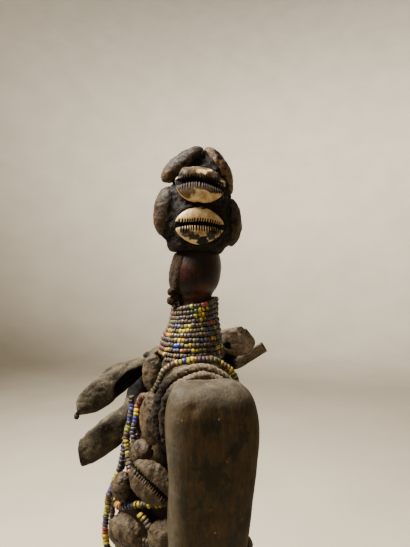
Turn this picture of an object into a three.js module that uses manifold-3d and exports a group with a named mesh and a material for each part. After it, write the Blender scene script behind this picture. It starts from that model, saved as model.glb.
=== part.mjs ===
import * as THREE from 'three';
import Module from 'manifold-3d';
import { mergeVertices } from 'three/addons/utils/BufferGeometryUtils.js';

const wasm = await Module();
wasm.setup();

// A namji doll: one carved hardwood figure, dressed with cowrie shells, glass beads, cords and leather.
// Millimetres, +Z up. The doll faces -Y and its left side is +X. Places are measured from the neck's axis
// at floor level, and the whole doll is moved at the end so that its box stands centred on the origin.

// Driving dimensions
const GAP = 0.3;
const TORSO_SIDES = 18;
const LIMB_SIDES = 12;
const BEAD_RADIUS = 1.3;
const CORD_RADIUS = 1.35;
const STRAND_SIDES = 6;
const STRAND_STEP = 6.4;
const COLLAR_TURNS = 12;
const COLLAR_BEAD = 2;
const COLLAR_SEGMENTS = 16;
const COLLAR_TOP_Z = 189;
const COLLAR_BOTTOM_Z = 169.4;
const COLLAR_SLOPE = 0.17;
const LEATHER_THICKNESS = 1.4;
const ON_WOOD = BEAD_RADIUS + 0.55;
const ON_STRAND = ON_WOOD + 2 * BEAD_RADIUS + 0.45;

// The torso's half-width, front depth and back depth at each height, from the hips up to the neck
const TORSO = [
  [58, 14, 11, 11], [63, 18, 15, 15.5], [70, 19, 18.5, 18.5], [78, 19, 22, 18.5], [87, 18.3, 26, 17],
  [97, 17.5, 28.2, 16], [107, 17, 28.7, 15.5], [117, 17, 27.6, 15.5], [127, 16.6, 25, 15.5],
  [137, 16.3, 21.2, 15.5], [147, 16.3, 17.4, 15], [156, 16.6, 14.6, 14], [162, 17, 13, 13.2],
  [166, 15.5, 12, 11.8], [168, 13, 11, 10.4],
];

// The beads' outer radius and the neck's centre line (Y) at each height of the collar
const NECK = [
  [166, 12.9, -1], [169.5, 12.9, -1], [172.4, 12.6, -1], [175.5, 11.9, -0.9], [179.4, 10.6, -0.2],
  [183.3, 9.8, 0], [188.7, 9.3, 0.3], [192, 9.3, 0.3],
];

// The barrel head: radius and centre line (Y) at each height, up to the rounded top under the cap
const HEAD = [
  [189.8, 5.8, 0.3], [191.6, 6.6, 0.2], [193, 7.8, -0.1], [194.8, 8.95, 0], [197.4, 9.65, 0.3],
  [200.2, 9.85, 0.6], [203, 9.75, 1], [206, 9.15, 1.3], [208.6, 8.3, 1.5], [211.4, 7.2, 1.4],
  [213, 5, 1.4],
];

// An arm below the shoulder: height, inner and outer side (X), front and back (Y)
const ARM = [
  [77.5, 31, 38, -8.5, 2.5], [80.5, 28.8, 40, -12.6, 5.6], [88, 28.2, 41, -14.4, 7],
  [98, 28.3, 41.6, -14.6, 7.8], [109, 28.6, 42.2, -14.5, 8.6], [121, 28.7, 42.8, -14.4, 9.7],
  [132, 28.6, 43, -14.4, 11.1], [142, 28.3, 43.2, -14.7, 12.6], [150, 27.6, 43.3, -15.3, 13.4],
  [157, 27.3, 43, -15.3, 13], [162.5, 27.4, 42, -14.4, 11.6], [165.8, 28.4, 39.4, -12.4, 9.2],
  [166.9, 30.5, 36, -9, 5.5],
];

// The shoulder bar that joins an arm to the torso: X, front and back (Y), underside and top (Z)
const SHOULDER = [
  [6, -8, 8, 144, 167.6], [15.5, -11.6, 10, 140.8, 168], [18, -13, 9.8, 140.4, 167.6],
  [21, -14, 9.4, 140.2, 166.4], [24.6, -12.2, 8.2, 141, 164.5], [35, -11, 8, 142.5, 163],
];
const SHOULDER_POWER = 2.1;

// A leg, bent and blocky: height, centre (X, Y), half-width and half-depth
const LEG = [
  [8, 15.6, 0.6, 8, 8.6], [14, 15.6, 1.6, 7.8, 8.2], [24, 15.4, 2.6, 9.8, 10.6], [32, 15, 0.4, 9.8, 10.4],
  [37, 14.6, -4.2, 10.2, 11.2], [44, 13.8, -5, 11.2, 12.8], [54, 12, -3, 11.8, 13.8], [68, 8.6, -1, 8, 11],
];

// A foot: Y, centre (X), half-width and height
const FOOT = [
  [12.6, 15.4, 6, 6], [10, 15.6, 8.8, 9.5], [2, 15.8, 10.2, 12], [-9, 16.2, 11.4, 11], [-18, 16.6, 12, 8.4],
  [-23.5, 16.8, 11, 6.6], [-25.6, 16.8, 8.6, 4.2],
];

const point = (x, y, z) => new THREE.Vector3(x, y, z);

// Values of a table's row at a height between its rows
function rowAt(table, height) {
  const rising = table[0][0] < table.at(-1)[0] ? table : [...table].reverse();
  const z = THREE.MathUtils.clamp(height, rising[0][0], rising.at(-1)[0]);
  const next = Math.max(1, rising.findIndex((row) => row[0] >= z));
  const [low, high] = [rising[next - 1], rising[next]];
  const share = (z - low[0]) / (high[0] - low[0]);
  return low.map((value, i) => THREE.MathUtils.lerp(value, high[i], share));
}

// A closed ring of points: a rounded rectangle or oval given by its two half-axes
function ring(centre, across, along, power, sides) {
  const points = [];
  for (let i = 0; i < sides; i += 1) {
    const angle = (i / sides) * 2 * Math.PI;
    const [c, s] = [Math.cos(angle), Math.sin(angle)];
    const a = Math.sign(c) * Math.abs(c) ** (2 / power);
    const b = Math.sign(s) * Math.abs(s) ** (2 / power);
    points.push(centre.clone().addScaledVector(across, a).addScaledVector(along, b));
  }
  return points;
}

// A closed body from its points and triangles, with its faces turned outwards
function body(points, faces) {
  let volume = 0;
  for (let i = 0; i < faces.length; i += 3) {
    const [a, b, c] = [points[faces[i]], points[faces[i + 1]], points[faces[i + 2]]];
    volume += a.dot(b.clone().cross(c));
  }
  const geometry = new THREE.BufferGeometry();
  geometry.setAttribute('position', new THREE.Float32BufferAttribute(points.flatMap((p) => p.toArray()), 3));
  geometry.setIndex(volume > 0 ? faces : faces.reverse());
  return geometry;
}

// A skin over a row of rings with the same number of points: closed by a cap at both ends, or joined
// end to start
function skin(rings, joined = false) {
  const count = rings[0].length;
  const points = rings.flat();
  const faces = [];
  const spans = joined ? rings.length : rings.length - 1;
  for (let r = 0; r < spans; r += 1) {
    const near = r * count;
    const far = ((r + 1) % rings.length) * count;
    for (let i = 0; i < count; i += 1) {
      const j = (i + 1) % count;
      faces.push(near + i, near + j, far + j, near + i, far + j, far + i);
    }
  }
  if (!joined) {
    const middle = (list) => list.reduce((sum, p) => sum.add(p), point(0, 0, 0)).divideScalar(count);
    const first = points.push(middle(rings[0])) - 1;
    const last = points.push(middle(rings.at(-1))) - 1;
    const start = (rings.length - 1) * count;
    for (let i = 0; i < count; i += 1) {
      const j = (i + 1) % count;
      faces.push(first, j, i, last, start + i, start + j);
    }
  }
  return body(points, faces);
}

function toSolid(geometry) {
  const bare = geometry.clone();
  bare.deleteAttribute('normal');
  bare.deleteAttribute('uv');
  const merged = mergeVertices(bare, 1e-4);
  return new wasm.Manifold(new wasm.Mesh({
    numProp: 3,
    vertProperties: merged.attributes.position.array,
    triVerts: new Uint32Array(merged.index.array),
  }));
}

function toGeometry(solid) {
  const mesh = solid.getMesh();
  const geometry = new THREE.BufferGeometry();
  geometry.setAttribute('position', new THREE.BufferAttribute(mesh.vertProperties, 3));
  geometry.setIndex(new THREE.BufferAttribute(mesh.triVerts, 1));
  return geometry;
}

const join = (pieces) => pieces.map(toSolid).reduce((all, next) => all.add(next));

// The carved figure

function torso(clearance = 0) {
  return skin(TORSO.map(([z, halfWidth, front, back]) => (
    ring(point(0, 0, z), point(halfWidth + clearance, 0, 0), point(0, 1, 0), 2, TORSO_SIDES)
      .map((p) => point(p.x, p.y * ((p.y < 0 ? front : back) + clearance), z))
  )));
}

function neck() {
  const wood = (row) => row[1] - COLLAR_BEAD - 2 * GAP;
  return skin(NECK.map((row) => (
    ring(point(0, row[2], row[0]), point(wood(row), 0, 0), point(0, wood(row), 0), 2, COLLAR_SEGMENTS)
  )));
}

function head(clearance = 0) {
  const rings = HEAD.map(([z, radius, y]) => {
    const r = radius + clearance;
    return ring(point(0, y, z), point(r, 0, 0), point(0, r, 0), 2, TORSO_SIDES);
  });
  if (clearance > 0) {
    rings.at(-1).forEach((p) => p.setZ(p.z + clearance));
  }
  return skin(rings);
}

function shoulder(side) {
  return skin(SHOULDER.map(([x, front, back, low, high]) => ring(
    point(side * x, (front + back) / 2, (low + high) / 2),
    point(0, (back - front) / 2, 0), point(0, 0, (high - low) / 2), SHOULDER_POWER, LIMB_SIDES,
  )));
}

function arm(side) {
  return skin(ARM.map(([z, inner, outer, front, back]) => ring(
    point(side * (inner + outer) / 2, (front + back) / 2, z),
    point((outer - inner) / 2, 0, 0), point(0, (back - front) / 2, 0), 3, LIMB_SIDES,
  )));
}

function leg(side) {
  return skin(LEG.map(([z, x, y, halfWidth, halfDepth]) => (
    ring(point(side * x, y, z), point(halfWidth, 0, 0), point(0, halfDepth, 0), 3, LIMB_SIDES)
  )));
}

// A foot is rounded above and runs below the floor, where the figure is cut flat
function foot(side) {
  return skin(FOOT.map(([y, x, halfWidth, height]) => (
    ring(point(side * x, y, 0), point(halfWidth, 0, 0), point(0, 0, height), 2.6, LIMB_SIDES)
  )));
}

function figure() {
  const limbs = [1, -1].flatMap((side) => [shoulder(side), arm(side), leg(side), foot(side)]);
  const carving = join([torso(), neck(), head(), ...limbs]);
  const floorDepth = 40;
  const below = new THREE.BoxGeometry(200, 200, floorDepth).translate(0, 0, -floorDepth / 2);
  return toGeometry(carving.subtract(toSolid(below)));
}

// Cowrie shells. The shell lies along its own X with its toothed slit facing its own +Z.

const SHELL_LENGTH = 19;
// Angle round the shell from the slit, and distance from the axis: slit, lips, margins and domed back
const SHELL_SECTION = [
  [0, 0.5], [26, 1], [76, 1.03], [128, 0.98], [180, 1], [232, 0.98], [284, 1.03], [334, 1],
];
// Distance along the shell from its middle and the share of the full section there
const SHELL_PROFILE = [[-0.98, 0.3], [-0.78, 0.7], [-0.3, 0.99], [0.25, 0.97], [0.72, 0.69], [0.96, 0.3]];

function cowrie({ length, width, height, grow }) {
  const rings = SHELL_PROFILE.map(([along, share]) => SHELL_SECTION.map(([degrees, reach]) => {
    const angle = THREE.MathUtils.degToRad(degrees);
    const notch = grow > 0 ? Math.max(reach, 0.9) : reach;
    const halfWidth = (width / 2) * share * notch + grow;
    const halfHeight = (height / 2) * share * notch * (Math.cos(angle) > 0 ? 0.85 : 1.1) + grow;
    const x = along * (length / 2) + Math.sign(along) * grow * (1 - share);
    return point(x, halfWidth * Math.sin(angle), halfHeight * Math.cos(angle));
  }));
  return skin(rings);
}

// Moves a piece from its own frame to a place: its X along one direction, its Z facing out
function place(geometry, centre, along, out) {
  const x = along.clone().normalize();
  const z = out.clone().addScaledVector(x, -out.dot(x)).normalize();
  const y = z.clone().cross(x);
  return geometry.applyMatrix4(new THREE.Matrix4().makeBasis(x, y, z).setPosition(centre));
}

// The cap's shells: centre, long axis and the side that the slit or the domed back faces
const CAP_SHELLS = [
  { name: 'left_upper', centre: [9.4, 0.8, 232.8], along: [0, 1, -0.06], out: [1, 0, 0.42], width: 15 },
  { name: 'left_lower', centre: [10.6, 0.2, 217.6], along: [0, 1, -0.03], out: [1, 0, 0.02], width: 14 },
  { name: 'right_upper', centre: [-9.4, 1.2, 232.4], along: [0, 1, 0.05], out: [-1, 0, 0.42], width: 14 },
  { name: 'right_lower', centre: [-10.6, 1, 217.4], along: [0, 1, 0.04], out: [-1, 0, 0], width: 13.6 },
  { name: 'front', centre: [0, -11.2, 224.2], along: [0, -0.16, -1], out: [0, 1, -0.1], width: 13.4 },
  { name: 'back', centre: [0.3, 14.4, 220.4], along: [0, 0.06, -1], out: [0, -1, 0], width: 13.4 },
  {
    name: 'crown_front', centre: [-0.5, -4.4, 242.2], along: [0.1, 1, 0.86], out: [0, 0.86, -1], width: 13,
    length: 20.5,
  },
  {
    name: 'crown_back', centre: [0, 9.6, 240.4], along: [0.1, 1, -1.75], out: [0, -1, -0.6], width: 13.4,
    length: 20.5,
  },
];
const CAP_SHELL_HEIGHT = 8;

function capShell({ centre, along, out, width, length = SHELL_LENGTH }, grow = 0) {
  const shell = cowrie({ length, width, height: CAP_SHELL_HEIGHT, grow });
  return place(shell, point(...centre), point(...along), point(...out));
}

// The dark mass that holds the shells, moulded round the top of the head
const CAP = [
  [208.8, 9.6, 9.8, 0.5], [211, 11, 11.6, 0.9], [216, 11.5, 13.2, 1.4], [223, 11.2, 13, 1.4],
  [230, 10.4, 11.8, 2], [236, 8.6, 10, 2.6], [242, 6, 7.6, 3], [246.4, 3.4, 4.6, 3.2],
];

function cap() {
  let mass = toSolid(skin(CAP.map(([z, halfWidth, halfDepth, y]) => (
    ring(point(0, y, z), point(halfWidth, 0, 0), point(0, halfDepth, 0), 2.2, LIMB_SIDES)
  ))));
  mass = mass.subtract(toSolid(head(GAP)));
  for (const shell of CAP_SHELLS) {
    mass = mass.subtract(toSolid(capShell(shell, GAP)));
  }
  return toGeometry(mass);
}

// The crusted thong down the front of the head, with a knot near its lower end
function headThong() {
  const [fromDegrees, toDegrees] = [-6, 46];
  const thickness = 0.7;
  const heights = HEAD.map(([z]) => z).filter((z) => z > 192 && z < 208);
  const rings = [...heights, 207.8].map((z) => {
    const [, radius, y] = rowAt(HEAD, z);
    const inner = radius + GAP;
    const arc = (r, degrees) => {
      const angle = THREE.MathUtils.degToRad(degrees);
      return point(r * Math.sin(angle), y - r * Math.cos(angle), z);
    };
    const degrees = [0, 0.33, 0.67, 1].map((share) => THREE.MathUtils.lerp(fromDegrees, toDegrees, share));
    return [
      ...degrees.map((d) => arc(inner, d)),
      ...degrees.reverse().map((d) => arc(inner + thickness, d)),
    ];
  });
  const knotRadius = 1.5;
  const knot = new THREE.SphereGeometry(knotRadius, 7, 5).translate(3.3, -9.9, 193.4);
  return toGeometry(join([skin(rings), knot]));
}

// The bead collar: turns of small beads round the neck, the upper ones sloping down to the front
function collar() {
  const pitch = (COLLAR_TOP_Z - COLLAR_BOTTOM_Z) / (COLLAR_TURNS - 1);
  const profile = [];
  for (let turn = 0; turn < COLLAR_TURNS; turn += 1) {
    const z = COLLAR_BOTTOM_Z + turn * pitch;
    const outer = rowAt(NECK, z)[1];
    profile.push([outer - COLLAR_BEAD * 0.4, z - pitch / 2], [outer, z]);
  }
  profile.push([rowAt(NECK, COLLAR_TOP_Z)[1] - COLLAR_BEAD * 0.5, COLLAR_TOP_Z + pitch / 2]);
  for (const z of [COLLAR_TOP_Z + pitch / 2, 183.3, 179.4, 175.5, 172.4, COLLAR_BOTTOM_Z - pitch / 2]) {
    profile.push([rowAt(NECK, z)[1] - COLLAR_BEAD - GAP, z]);
  }
  const rings = [];
  for (let i = 0; i < COLLAR_SEGMENTS; i += 1) {
    const angle = (i / COLLAR_SEGMENTS) * 2 * Math.PI;
    rings.push(profile.map(([radius, z]) => {
      const y = radius * Math.sin(angle);
      const slope = COLLAR_SLOPE * THREE.MathUtils.smoothstep(z, 174, 188);
      return point(radius * Math.cos(angle), rowAt(NECK, z)[2] + y, z + slope * y);
    }));
  }
  return skin(rings, true);
}

// A place on the torso: degrees round it from the front towards its left side, height and lift
function onTorso(degrees, z, lift) {
  const [, halfWidth, front, back] = rowAt(TORSO, z);
  const angle = THREE.MathUtils.degToRad(degrees);
  const depth = Math.cos(angle) > 0 ? front : back;
  const out = point(Math.sin(angle) / halfWidth, -Math.cos(angle) / depth, 0).normalize();
  return point(halfWidth * Math.sin(angle), -depth * Math.cos(angle), z).addScaledVector(out, lift);
}

// A cord or strand of beads along a route
function strand(route, radius, closed = false) {
  const curve = new THREE.CatmullRomCurve3(route, closed, 'centripetal');
  const steps = Math.max(4, Math.round(curve.getLength() / STRAND_STEP));
  if (closed) {
    const { normals, binormals } = curve.computeFrenetFrames(steps, true);
    const rings = [];
    for (let i = 0; i < steps; i += 1) {
      const centre = curve.getPointAt(i / steps);
      const [across, along] = [normals[i].clone(), binormals[i].clone()];
      rings.push(ring(centre, across.multiplyScalar(radius), along.multiplyScalar(radius), 2, STRAND_SIDES));
    }
    return skin(rings, true);
  }
  const section = new THREE.Shape();
  for (let i = 0; i < STRAND_SIDES; i += 1) {
    const angle = (i / STRAND_SIDES) * 2 * Math.PI;
    const corner = [radius * Math.cos(angle), radius * Math.sin(angle)];
    if (i === 0) {
      section.moveTo(...corner);
    } else {
      section.lineTo(...corner);
    }
  }
  return new THREE.ExtrudeGeometry(section, { steps, extrudePath: curve, bevelEnabled: false });
}

// Two twisted cords round the root of each arm
const CORD_PLANES = { inner: 21, outer: 24.6 };

function shoulderCord(side, x, radius = CORD_RADIUS) {
  const [, front, back, low, high] = rowAt(SHOULDER, x);
  const lift = CORD_RADIUS + GAP + 0.25;
  const route = ring(
    point(side * x, (front + back) / 2, (low + high) / 2),
    point(0, (back - front) / 2 + lift, 0), point(0, 0, (high - low) / 2 + lift), SHOULDER_POWER, 16,
  );
  return strand(route, radius, true);
}

// Strands of the torso: routes as degrees, height and lift
const SHORT_NECKLACE = [
  [1, 153.5, 8.6], [2, 150.8, 7.6], [2, 145.2, 6.5], [3, 138.5, 5.1], [9, 133.2, 2.8],
  [21, 128.2, ON_WOOD], [34, 124.6, ON_WOOD], [38, 123.4, ON_WOOD],
];
const LONG_NECKLACE = [
  [-6, 142.5, 6.2], [-5.5, 138, 5.4], [-2, 133.5, 4.4], [2, 129, 3.8], [3, 124, 4], [3, 119, ON_STRAND],
  [3, 113, ON_STRAND], [3, 107, ON_STRAND], [4, 101.5, ON_STRAND], [6, 96.5, 3.4], [6, 91, ON_WOOD],
  [0, 86.5, ON_WOOD], [-8, 87, ON_WOOD], [-14, 92, ON_WOOD], [-17, 98, 3.8], [-19, 103, ON_STRAND],
  [-20, 109, ON_STRAND], [-21, 116, ON_STRAND], [-24, 122, ON_STRAND], [-28, 129, 2.6], [-30, 136, ON_WOOD],
];
const UPPER_WAIST = { front: 115, side: 121.2, back: 117 };
const LOWER_WAIST = { front: 104.4, side: 108.2, back: 98 };
const LEFT_HIP_STRAND = [[43, 116.4, ON_WOOD], [50, 113.6, ON_WOOD], [54, 110.8, ON_WOOD]];
const RIGHT_HIP_STRAND = [[-52, 116.6, ON_WOOD], [-58, 113.8, ON_WOOD], [-64, 111, ON_WOOD]];

const torsoStrand = (route, radius) => strand(route.map((row) => onTorso(...row)), radius);

function waistStrand({ front, side, back }, radius) {
  const route = [];
  for (let degrees = 0; degrees < 360; degrees += 15) {
    const turn = Math.cos(THREE.MathUtils.degToRad(degrees));
    const dip = turn > 0 ? (front - side) * turn ** 5 : (back - side) * turn ** 2;
    route.push(onTorso(degrees, side + dip, ON_WOOD));
  }
  return strand(route, radius, true);
}

// The bead strand over the left shoulder: up the back, over beside the collar, and down the chest
function shoulderStrand(radius) {
  const route = [
    onTorso(148, 121, ON_WOOD), onTorso(147, 131, ON_WOOD), onTorso(144, 142, ON_WOOD),
    onTorso(138, 152, ON_WOOD + 1), point(16.4, 12.3, 161.5), point(17.2, 9.8, 166),
    point(17.4, 7.3, 168), point(17.4, 4.2, 169.8), point(17.4, -1, 170.2), point(17.2, -8, 169.6),
    point(16, -13.4, 166.6), point(14.8, -15.6, 161.4),
    point(11.4, -18, 157.2), point(7, -20.2, 155.8), onTorso(10, 152.2, 6.1), onTorso(11, 148.6, 5.6),
    onTorso(14, 143.2, 5.4), onTorso(20, 138.5, 4.2), onTorso(31, 134, ON_WOOD + 0.6),
    onTorso(42, 128, ON_WOOD), onTorso(49, 123.6, ON_WOOD),
  ];
  return strand(route, radius);
}

// Every strand of larger beads, by name
const STRANDS = {
  shoulder_beads: shoulderStrand,
  short_necklace: (radius) => torsoStrand(SHORT_NECKLACE, radius),
  long_necklace: (radius) => torsoStrand(LONG_NECKLACE, radius),
  upper_waist_beads: (radius) => waistStrand(UPPER_WAIST, radius),
  lower_waist_beads: (radius) => waistStrand(LOWER_WAIST, radius),
  left_hip_beads: (radius) => torsoStrand(LEFT_HIP_STRAND, radius),
  right_hip_beads: (radius) => torsoStrand(RIGHT_HIP_STRAND, radius),
};

// The torso's shells: degrees, height, lift of the shell's middle, turn about the vertical from the
// torso's own facing, tilt of the long axis from the vertical, length, width and whether the slit faces out
const TORSO_SHELLS = [
  ['left_shoulder', 29, 165.2, 6.4, -14, 6, 14, 10, false],
  ['left_chest', 40.5, 150.3, 6.6, -22, 4, 18.2, 11.4, false],
  ['left_side', 53, 130.6, 8, 4, 128, 18, 12.6, true],
  ['left_rib', 35, 138.4, 5.2, 0, 62, 10.5, 7.6, false],
  ['front_belly', 20, 124.4, 3.6, 0, 24, 11, 7.6, false],
  ['left_belly', 38, 112.8, 7, 0, 98, 13.5, 10.6, false],
  ['left_hip', 66, 113.8, 7.2, 0, 72, 12.6, 11, false],
  ['right_rib', -44, 141, 6.4, 10, -30, 16, 11, true],
  ['right_side', -52, 127, 6, 0, -64, 17, 12, false],
  ['right_belly', -42, 109.4, 7.6, 0, 88, 16.5, 11.6, false],
  ['front_low', 16, 88, 5.4, 0, 84, 16, 11, false],
  ['back_upper', 176, 142, 4.6, 0, 4, 18, 12.6, false],
  ['back_left', 154, 87, 6, 0, 92, 17, 12, true],
  ['back_right', 206, 87, 6, 0, 88, 17, 12, false],
];
const SHELL_HEIGHT = 7;

function torsoShell([, degrees, z, lift, turn, tilt, length, width, slitOut], grow = 0) {
  const centre = onTorso(degrees, z, lift);
  const up = point(0, 0, 1);
  const out = centre.clone().sub(onTorso(degrees, z, 0)).normalize();
  out.applyAxisAngle(up, THREE.MathUtils.degToRad(turn));
  const along = up.clone().applyAxisAngle(out, THREE.MathUtils.degToRad(-tilt));
  const shell = cowrie({ length, width, height: SHELL_HEIGHT, grow });
  return place(shell, centre, along, slitOut ? out : out.negate());
}

// The torso's shells one by one, each bedded on the wood, the cords, the strands and the shells before it
function bedShells(add) {
  const grown = BEAD_RADIUS + GAP;
  const bed = [
    torso(GAP),
    ...Object.values(STRANDS).map((make) => make(grown)),
    ...Object.values(CORD_PLANES).flatMap((x) => [1, -1].map((side) => shoulderCord(side, x, CORD_RADIUS + GAP))),
  ].map(toSolid);
  for (const shell of TORSO_SHELLS) {
    const rest = bed.reduce((solid, below) => solid.subtract(below), toSolid(torsoShell(shell)));
    add(`cowrie_${shell[0]}`, toGeometry(rest), 'worn_shell');
    bed.push(toSolid(torsoShell(shell, GAP)));
  }
}

// Leather straps over the right shoulder. Each station: place, width, how far the strip is folded
// lengthwise (radians of half the arc) and the way its outer face looks.
const UPPER_STRAP = [
  { at: [-5.2, -42.6, 148.3], width: 6.5, fold: 0.8, out: [1, 0.2, 0] },
  { at: [-5, -39.6, 150.4], width: 11, fold: 0.85, out: [1, 0.2, 0] },
  { at: [-4.6, -35.6, 153.6], width: 12.4, fold: 0.95, out: [1, 0.1, 0.1] },
  { at: [-4.8, -30.2, 158.6], width: 13.4, fold: 1, out: [0.95, 0, 0.3] },
  { at: [-6.6, -24.4, 163.4], width: 12.2, fold: 1, out: [0.8, -0.2, 0.6] },
  { at: [-12.2, -18.8, 166.4], width: 8, fold: 0.7, out: [0.1, -0.5, 0.86] },
  { at: [-16, -13.4, 169.3], width: 6.4, fold: 0.4, out: [0, -0.5, 0.86] },
  { at: [-16.6, -6, 171.6], width: 6, fold: 0.25, out: [0, 0, 1] },
  { at: [-16.6, 4, 171.8], width: 6, fold: 0.25, out: [0, 0, 1] },
  { at: [-13.8, 12.6, 171.2], width: 8, fold: 0.3, out: [0.5, 0.1, 0.8] },
  { at: [-9.4, 17.4, 170.4], width: 12.5, fold: 0.4, out: [1, 0, 0.4] },
  { at: [-8, 21.6, 172.2], width: 13.5, fold: 0.3, out: [1, 0, 0.1] },
  { at: [-7.6, 25, 174.4], width: 11, fold: 0.2, out: [1, 0, 0] },
  { at: [-7.6, 26.6, 175.4], width: 6, fold: 0.2, out: [1, 0, 0] },
];
const LOWER_STRAP = [
  { at: [-6, -42.4, 130.6], width: 9.6, fold: 0.9, out: [1, 0.2, 0] },
  { at: [-5.6, -38.6, 132.4], width: 12.6, fold: 1, out: [1, 0.2, 0] },
  { at: [-5.6, -33.8, 136], width: 13.4, fold: 1, out: [1, 0.1, 0.1] },
  { at: [-6.4, -28.9, 140.8], width: 13.6, fold: 1, out: [0.9, -0.1, 0.3] },
  { at: [-9, -24.4, 146], width: 12, fold: 0.8, out: [0.6, -0.7, 0.3] },
  { at: [-12.8, -20.6, 154.4], width: 7.4, fold: 0.4, out: [-0.2, -0.9, 0.3] },
  { at: [-15.8, -15.6, 163.6], width: 6, fold: 0.3, out: [-0.2, -0.8, 0.5] },
  { at: [-16.3, -10, 168.2], width: 5.6, fold: 0.15, out: [0, -0.5, 0.86] },
  { at: [-16.3, -3, 169.4], width: 5.6, fold: 0.15, out: [0, 0, 1] },
  { at: [-16.3, 4, 169.4], width: 5.6, fold: 0.15, out: [0, 0, 1] },
  { at: [-15.6, 10.6, 167], width: 5.6, fold: 0.2, out: [0, 0.5, 0.9] },
  { at: [-13, 16, 162], width: 5.4, fold: 0.2, out: [0.5, 0.6, 0.6] },
  { at: [-11.4, 21.1, 161.6], width: 4.6, fold: 0.2, out: [0.9, 0, 0.5] },
  { at: [-11, 33, 168.7], width: 4, fold: 0.2, out: [0.9, 0, 0.5] },
];

function strap(stations) {
  const path = new THREE.CatmullRomCurve3(stations.map(({ at }) => point(...at)), false, 'centripetal');
  const last = stations.length - 1;
  const rings = stations.map(({ at, width, fold, out }, i) => {
    const centre = point(...at);
    const tangent = path.getTangent(i / last);
    const across = point(...out).cross(tangent).normalize();
    const up = tangent.clone().cross(across).normalize();
    const radius = width / 2 / fold;
    const arc = (r, share) => centre.clone()
      .addScaledVector(across, r * Math.sin(share * fold))
      .addScaledVector(up, r * Math.cos(share * fold) - radius);
    const shares = [-1, -0.4, 0.4, 1];
    return [
      ...shares.map((share) => arc(radius - LEATHER_THICKNESS / 2, share)),
      ...shares.reverse().map((share) => arc(radius + LEATHER_THICKNESS / 2, share)),
    ];
  });
  return skin(rings);
}

// Finishes
const FINISH = {
  wood: { color: 0x3a2418, roughness: 0.5, metalness: 0 },
  resin: { color: 0x1c120c, roughness: 0.45, metalness: 0 },
  shell: { color: 0xcfc09a, roughness: 0.35, metalness: 0 },
  worn_shell: { color: 0x7d6a52, roughness: 0.7, metalness: 0 },
  beads: { color: 0x7a6652, roughness: 0.4, metalness: 0 },
  cord: { color: 0x6f6356, roughness: 0.95, metalness: 0 },
  leather: { color: 0x4a4438, roughness: 0.75, metalness: 0 },
};

const doll = new THREE.Group();

function add(name, geometry, finish) {
  const mesh = new THREE.Mesh(geometry, new THREE.MeshStandardMaterial(FINISH[finish]));
  mesh.name = name;
  doll.add(mesh);
}

add('figure', figure(), 'wood');
add('cap', cap(), 'resin');
for (const shell of CAP_SHELLS) {
  add(`cap_cowrie_${shell.name}`, capShell(shell), 'shell');
}
add('head_thong', headThong(), 'cord');
add('bead_collar', collar(), 'beads');
for (const [name, x] of Object.entries(CORD_PLANES)) {
  add(`left_cord_${name}`, shoulderCord(1, x), 'cord');
  add(`right_cord_${name}`, shoulderCord(-1, x), 'cord');
}
for (const [name, make] of Object.entries(STRANDS)) {
  add(name, make(BEAD_RADIUS), 'beads');
}
bedShells(add);
add('upper_strap', strap(UPPER_STRAP), 'leather');
add('lower_strap', strap(LOWER_STRAP), 'leather');

// The doll stands with the middle of its box over the origin
const box = new THREE.Box3().setFromObject(doll);
const middle = box.getCenter(point(0, 0, 0));
doll.position.set(-middle.x, -middle.y, -box.min.z);

const model = new THREE.Group();
model.add(doll);

export default model;
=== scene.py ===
"""A namji doll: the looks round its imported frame.

Lengths here are in millimetres from the neck's axis at floor level, as in the part: the doll faces -Y and
its left side is +X. make_piece() turns them into metres in the frame.
"""
from collections import namedtuple
import itertools
import math
import random

import bpy
import numpy as np
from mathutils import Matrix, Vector


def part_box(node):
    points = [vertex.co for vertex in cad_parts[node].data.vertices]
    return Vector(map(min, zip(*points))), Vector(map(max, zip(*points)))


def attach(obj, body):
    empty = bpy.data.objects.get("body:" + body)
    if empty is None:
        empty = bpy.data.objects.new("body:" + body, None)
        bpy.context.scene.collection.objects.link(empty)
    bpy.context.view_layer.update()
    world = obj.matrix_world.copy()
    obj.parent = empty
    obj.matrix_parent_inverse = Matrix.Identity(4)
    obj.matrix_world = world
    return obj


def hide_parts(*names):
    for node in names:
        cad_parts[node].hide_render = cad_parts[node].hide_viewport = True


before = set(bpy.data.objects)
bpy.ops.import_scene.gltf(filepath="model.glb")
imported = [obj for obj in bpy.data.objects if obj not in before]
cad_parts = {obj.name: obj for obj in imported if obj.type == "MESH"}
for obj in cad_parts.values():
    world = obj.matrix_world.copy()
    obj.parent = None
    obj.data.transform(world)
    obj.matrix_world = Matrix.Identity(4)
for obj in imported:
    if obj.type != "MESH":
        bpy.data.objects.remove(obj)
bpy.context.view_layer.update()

MM = 0.001
COLLAR_CENTRE_Y = -1
UP = np.array((0.0, 0.0, 1.0))

low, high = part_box("bead_collar")
AXIS = np.array(((low.x + high.x) / 2, (low.y + high.y) / 2 - COLLAR_CENTRE_Y * MM, 0))

# Sizes shared with the solids
GAP = 0.3
BEAD_RADIUS = 1.3
CORD_RADIUS = 1.35
COLLAR_TURNS = 12
COLLAR_BEAD = 2
COLLAR_TOP_Z = 189
COLLAR_BOTTOM_Z = 169.4
COLLAR_SLOPE = 0.17
LEATHER_THICKNESS = 1.4
ON_WOOD = BEAD_RADIUS + 0.55
ON_STRAND = ON_WOOD + 2 * BEAD_RADIUS + 0.45

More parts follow.
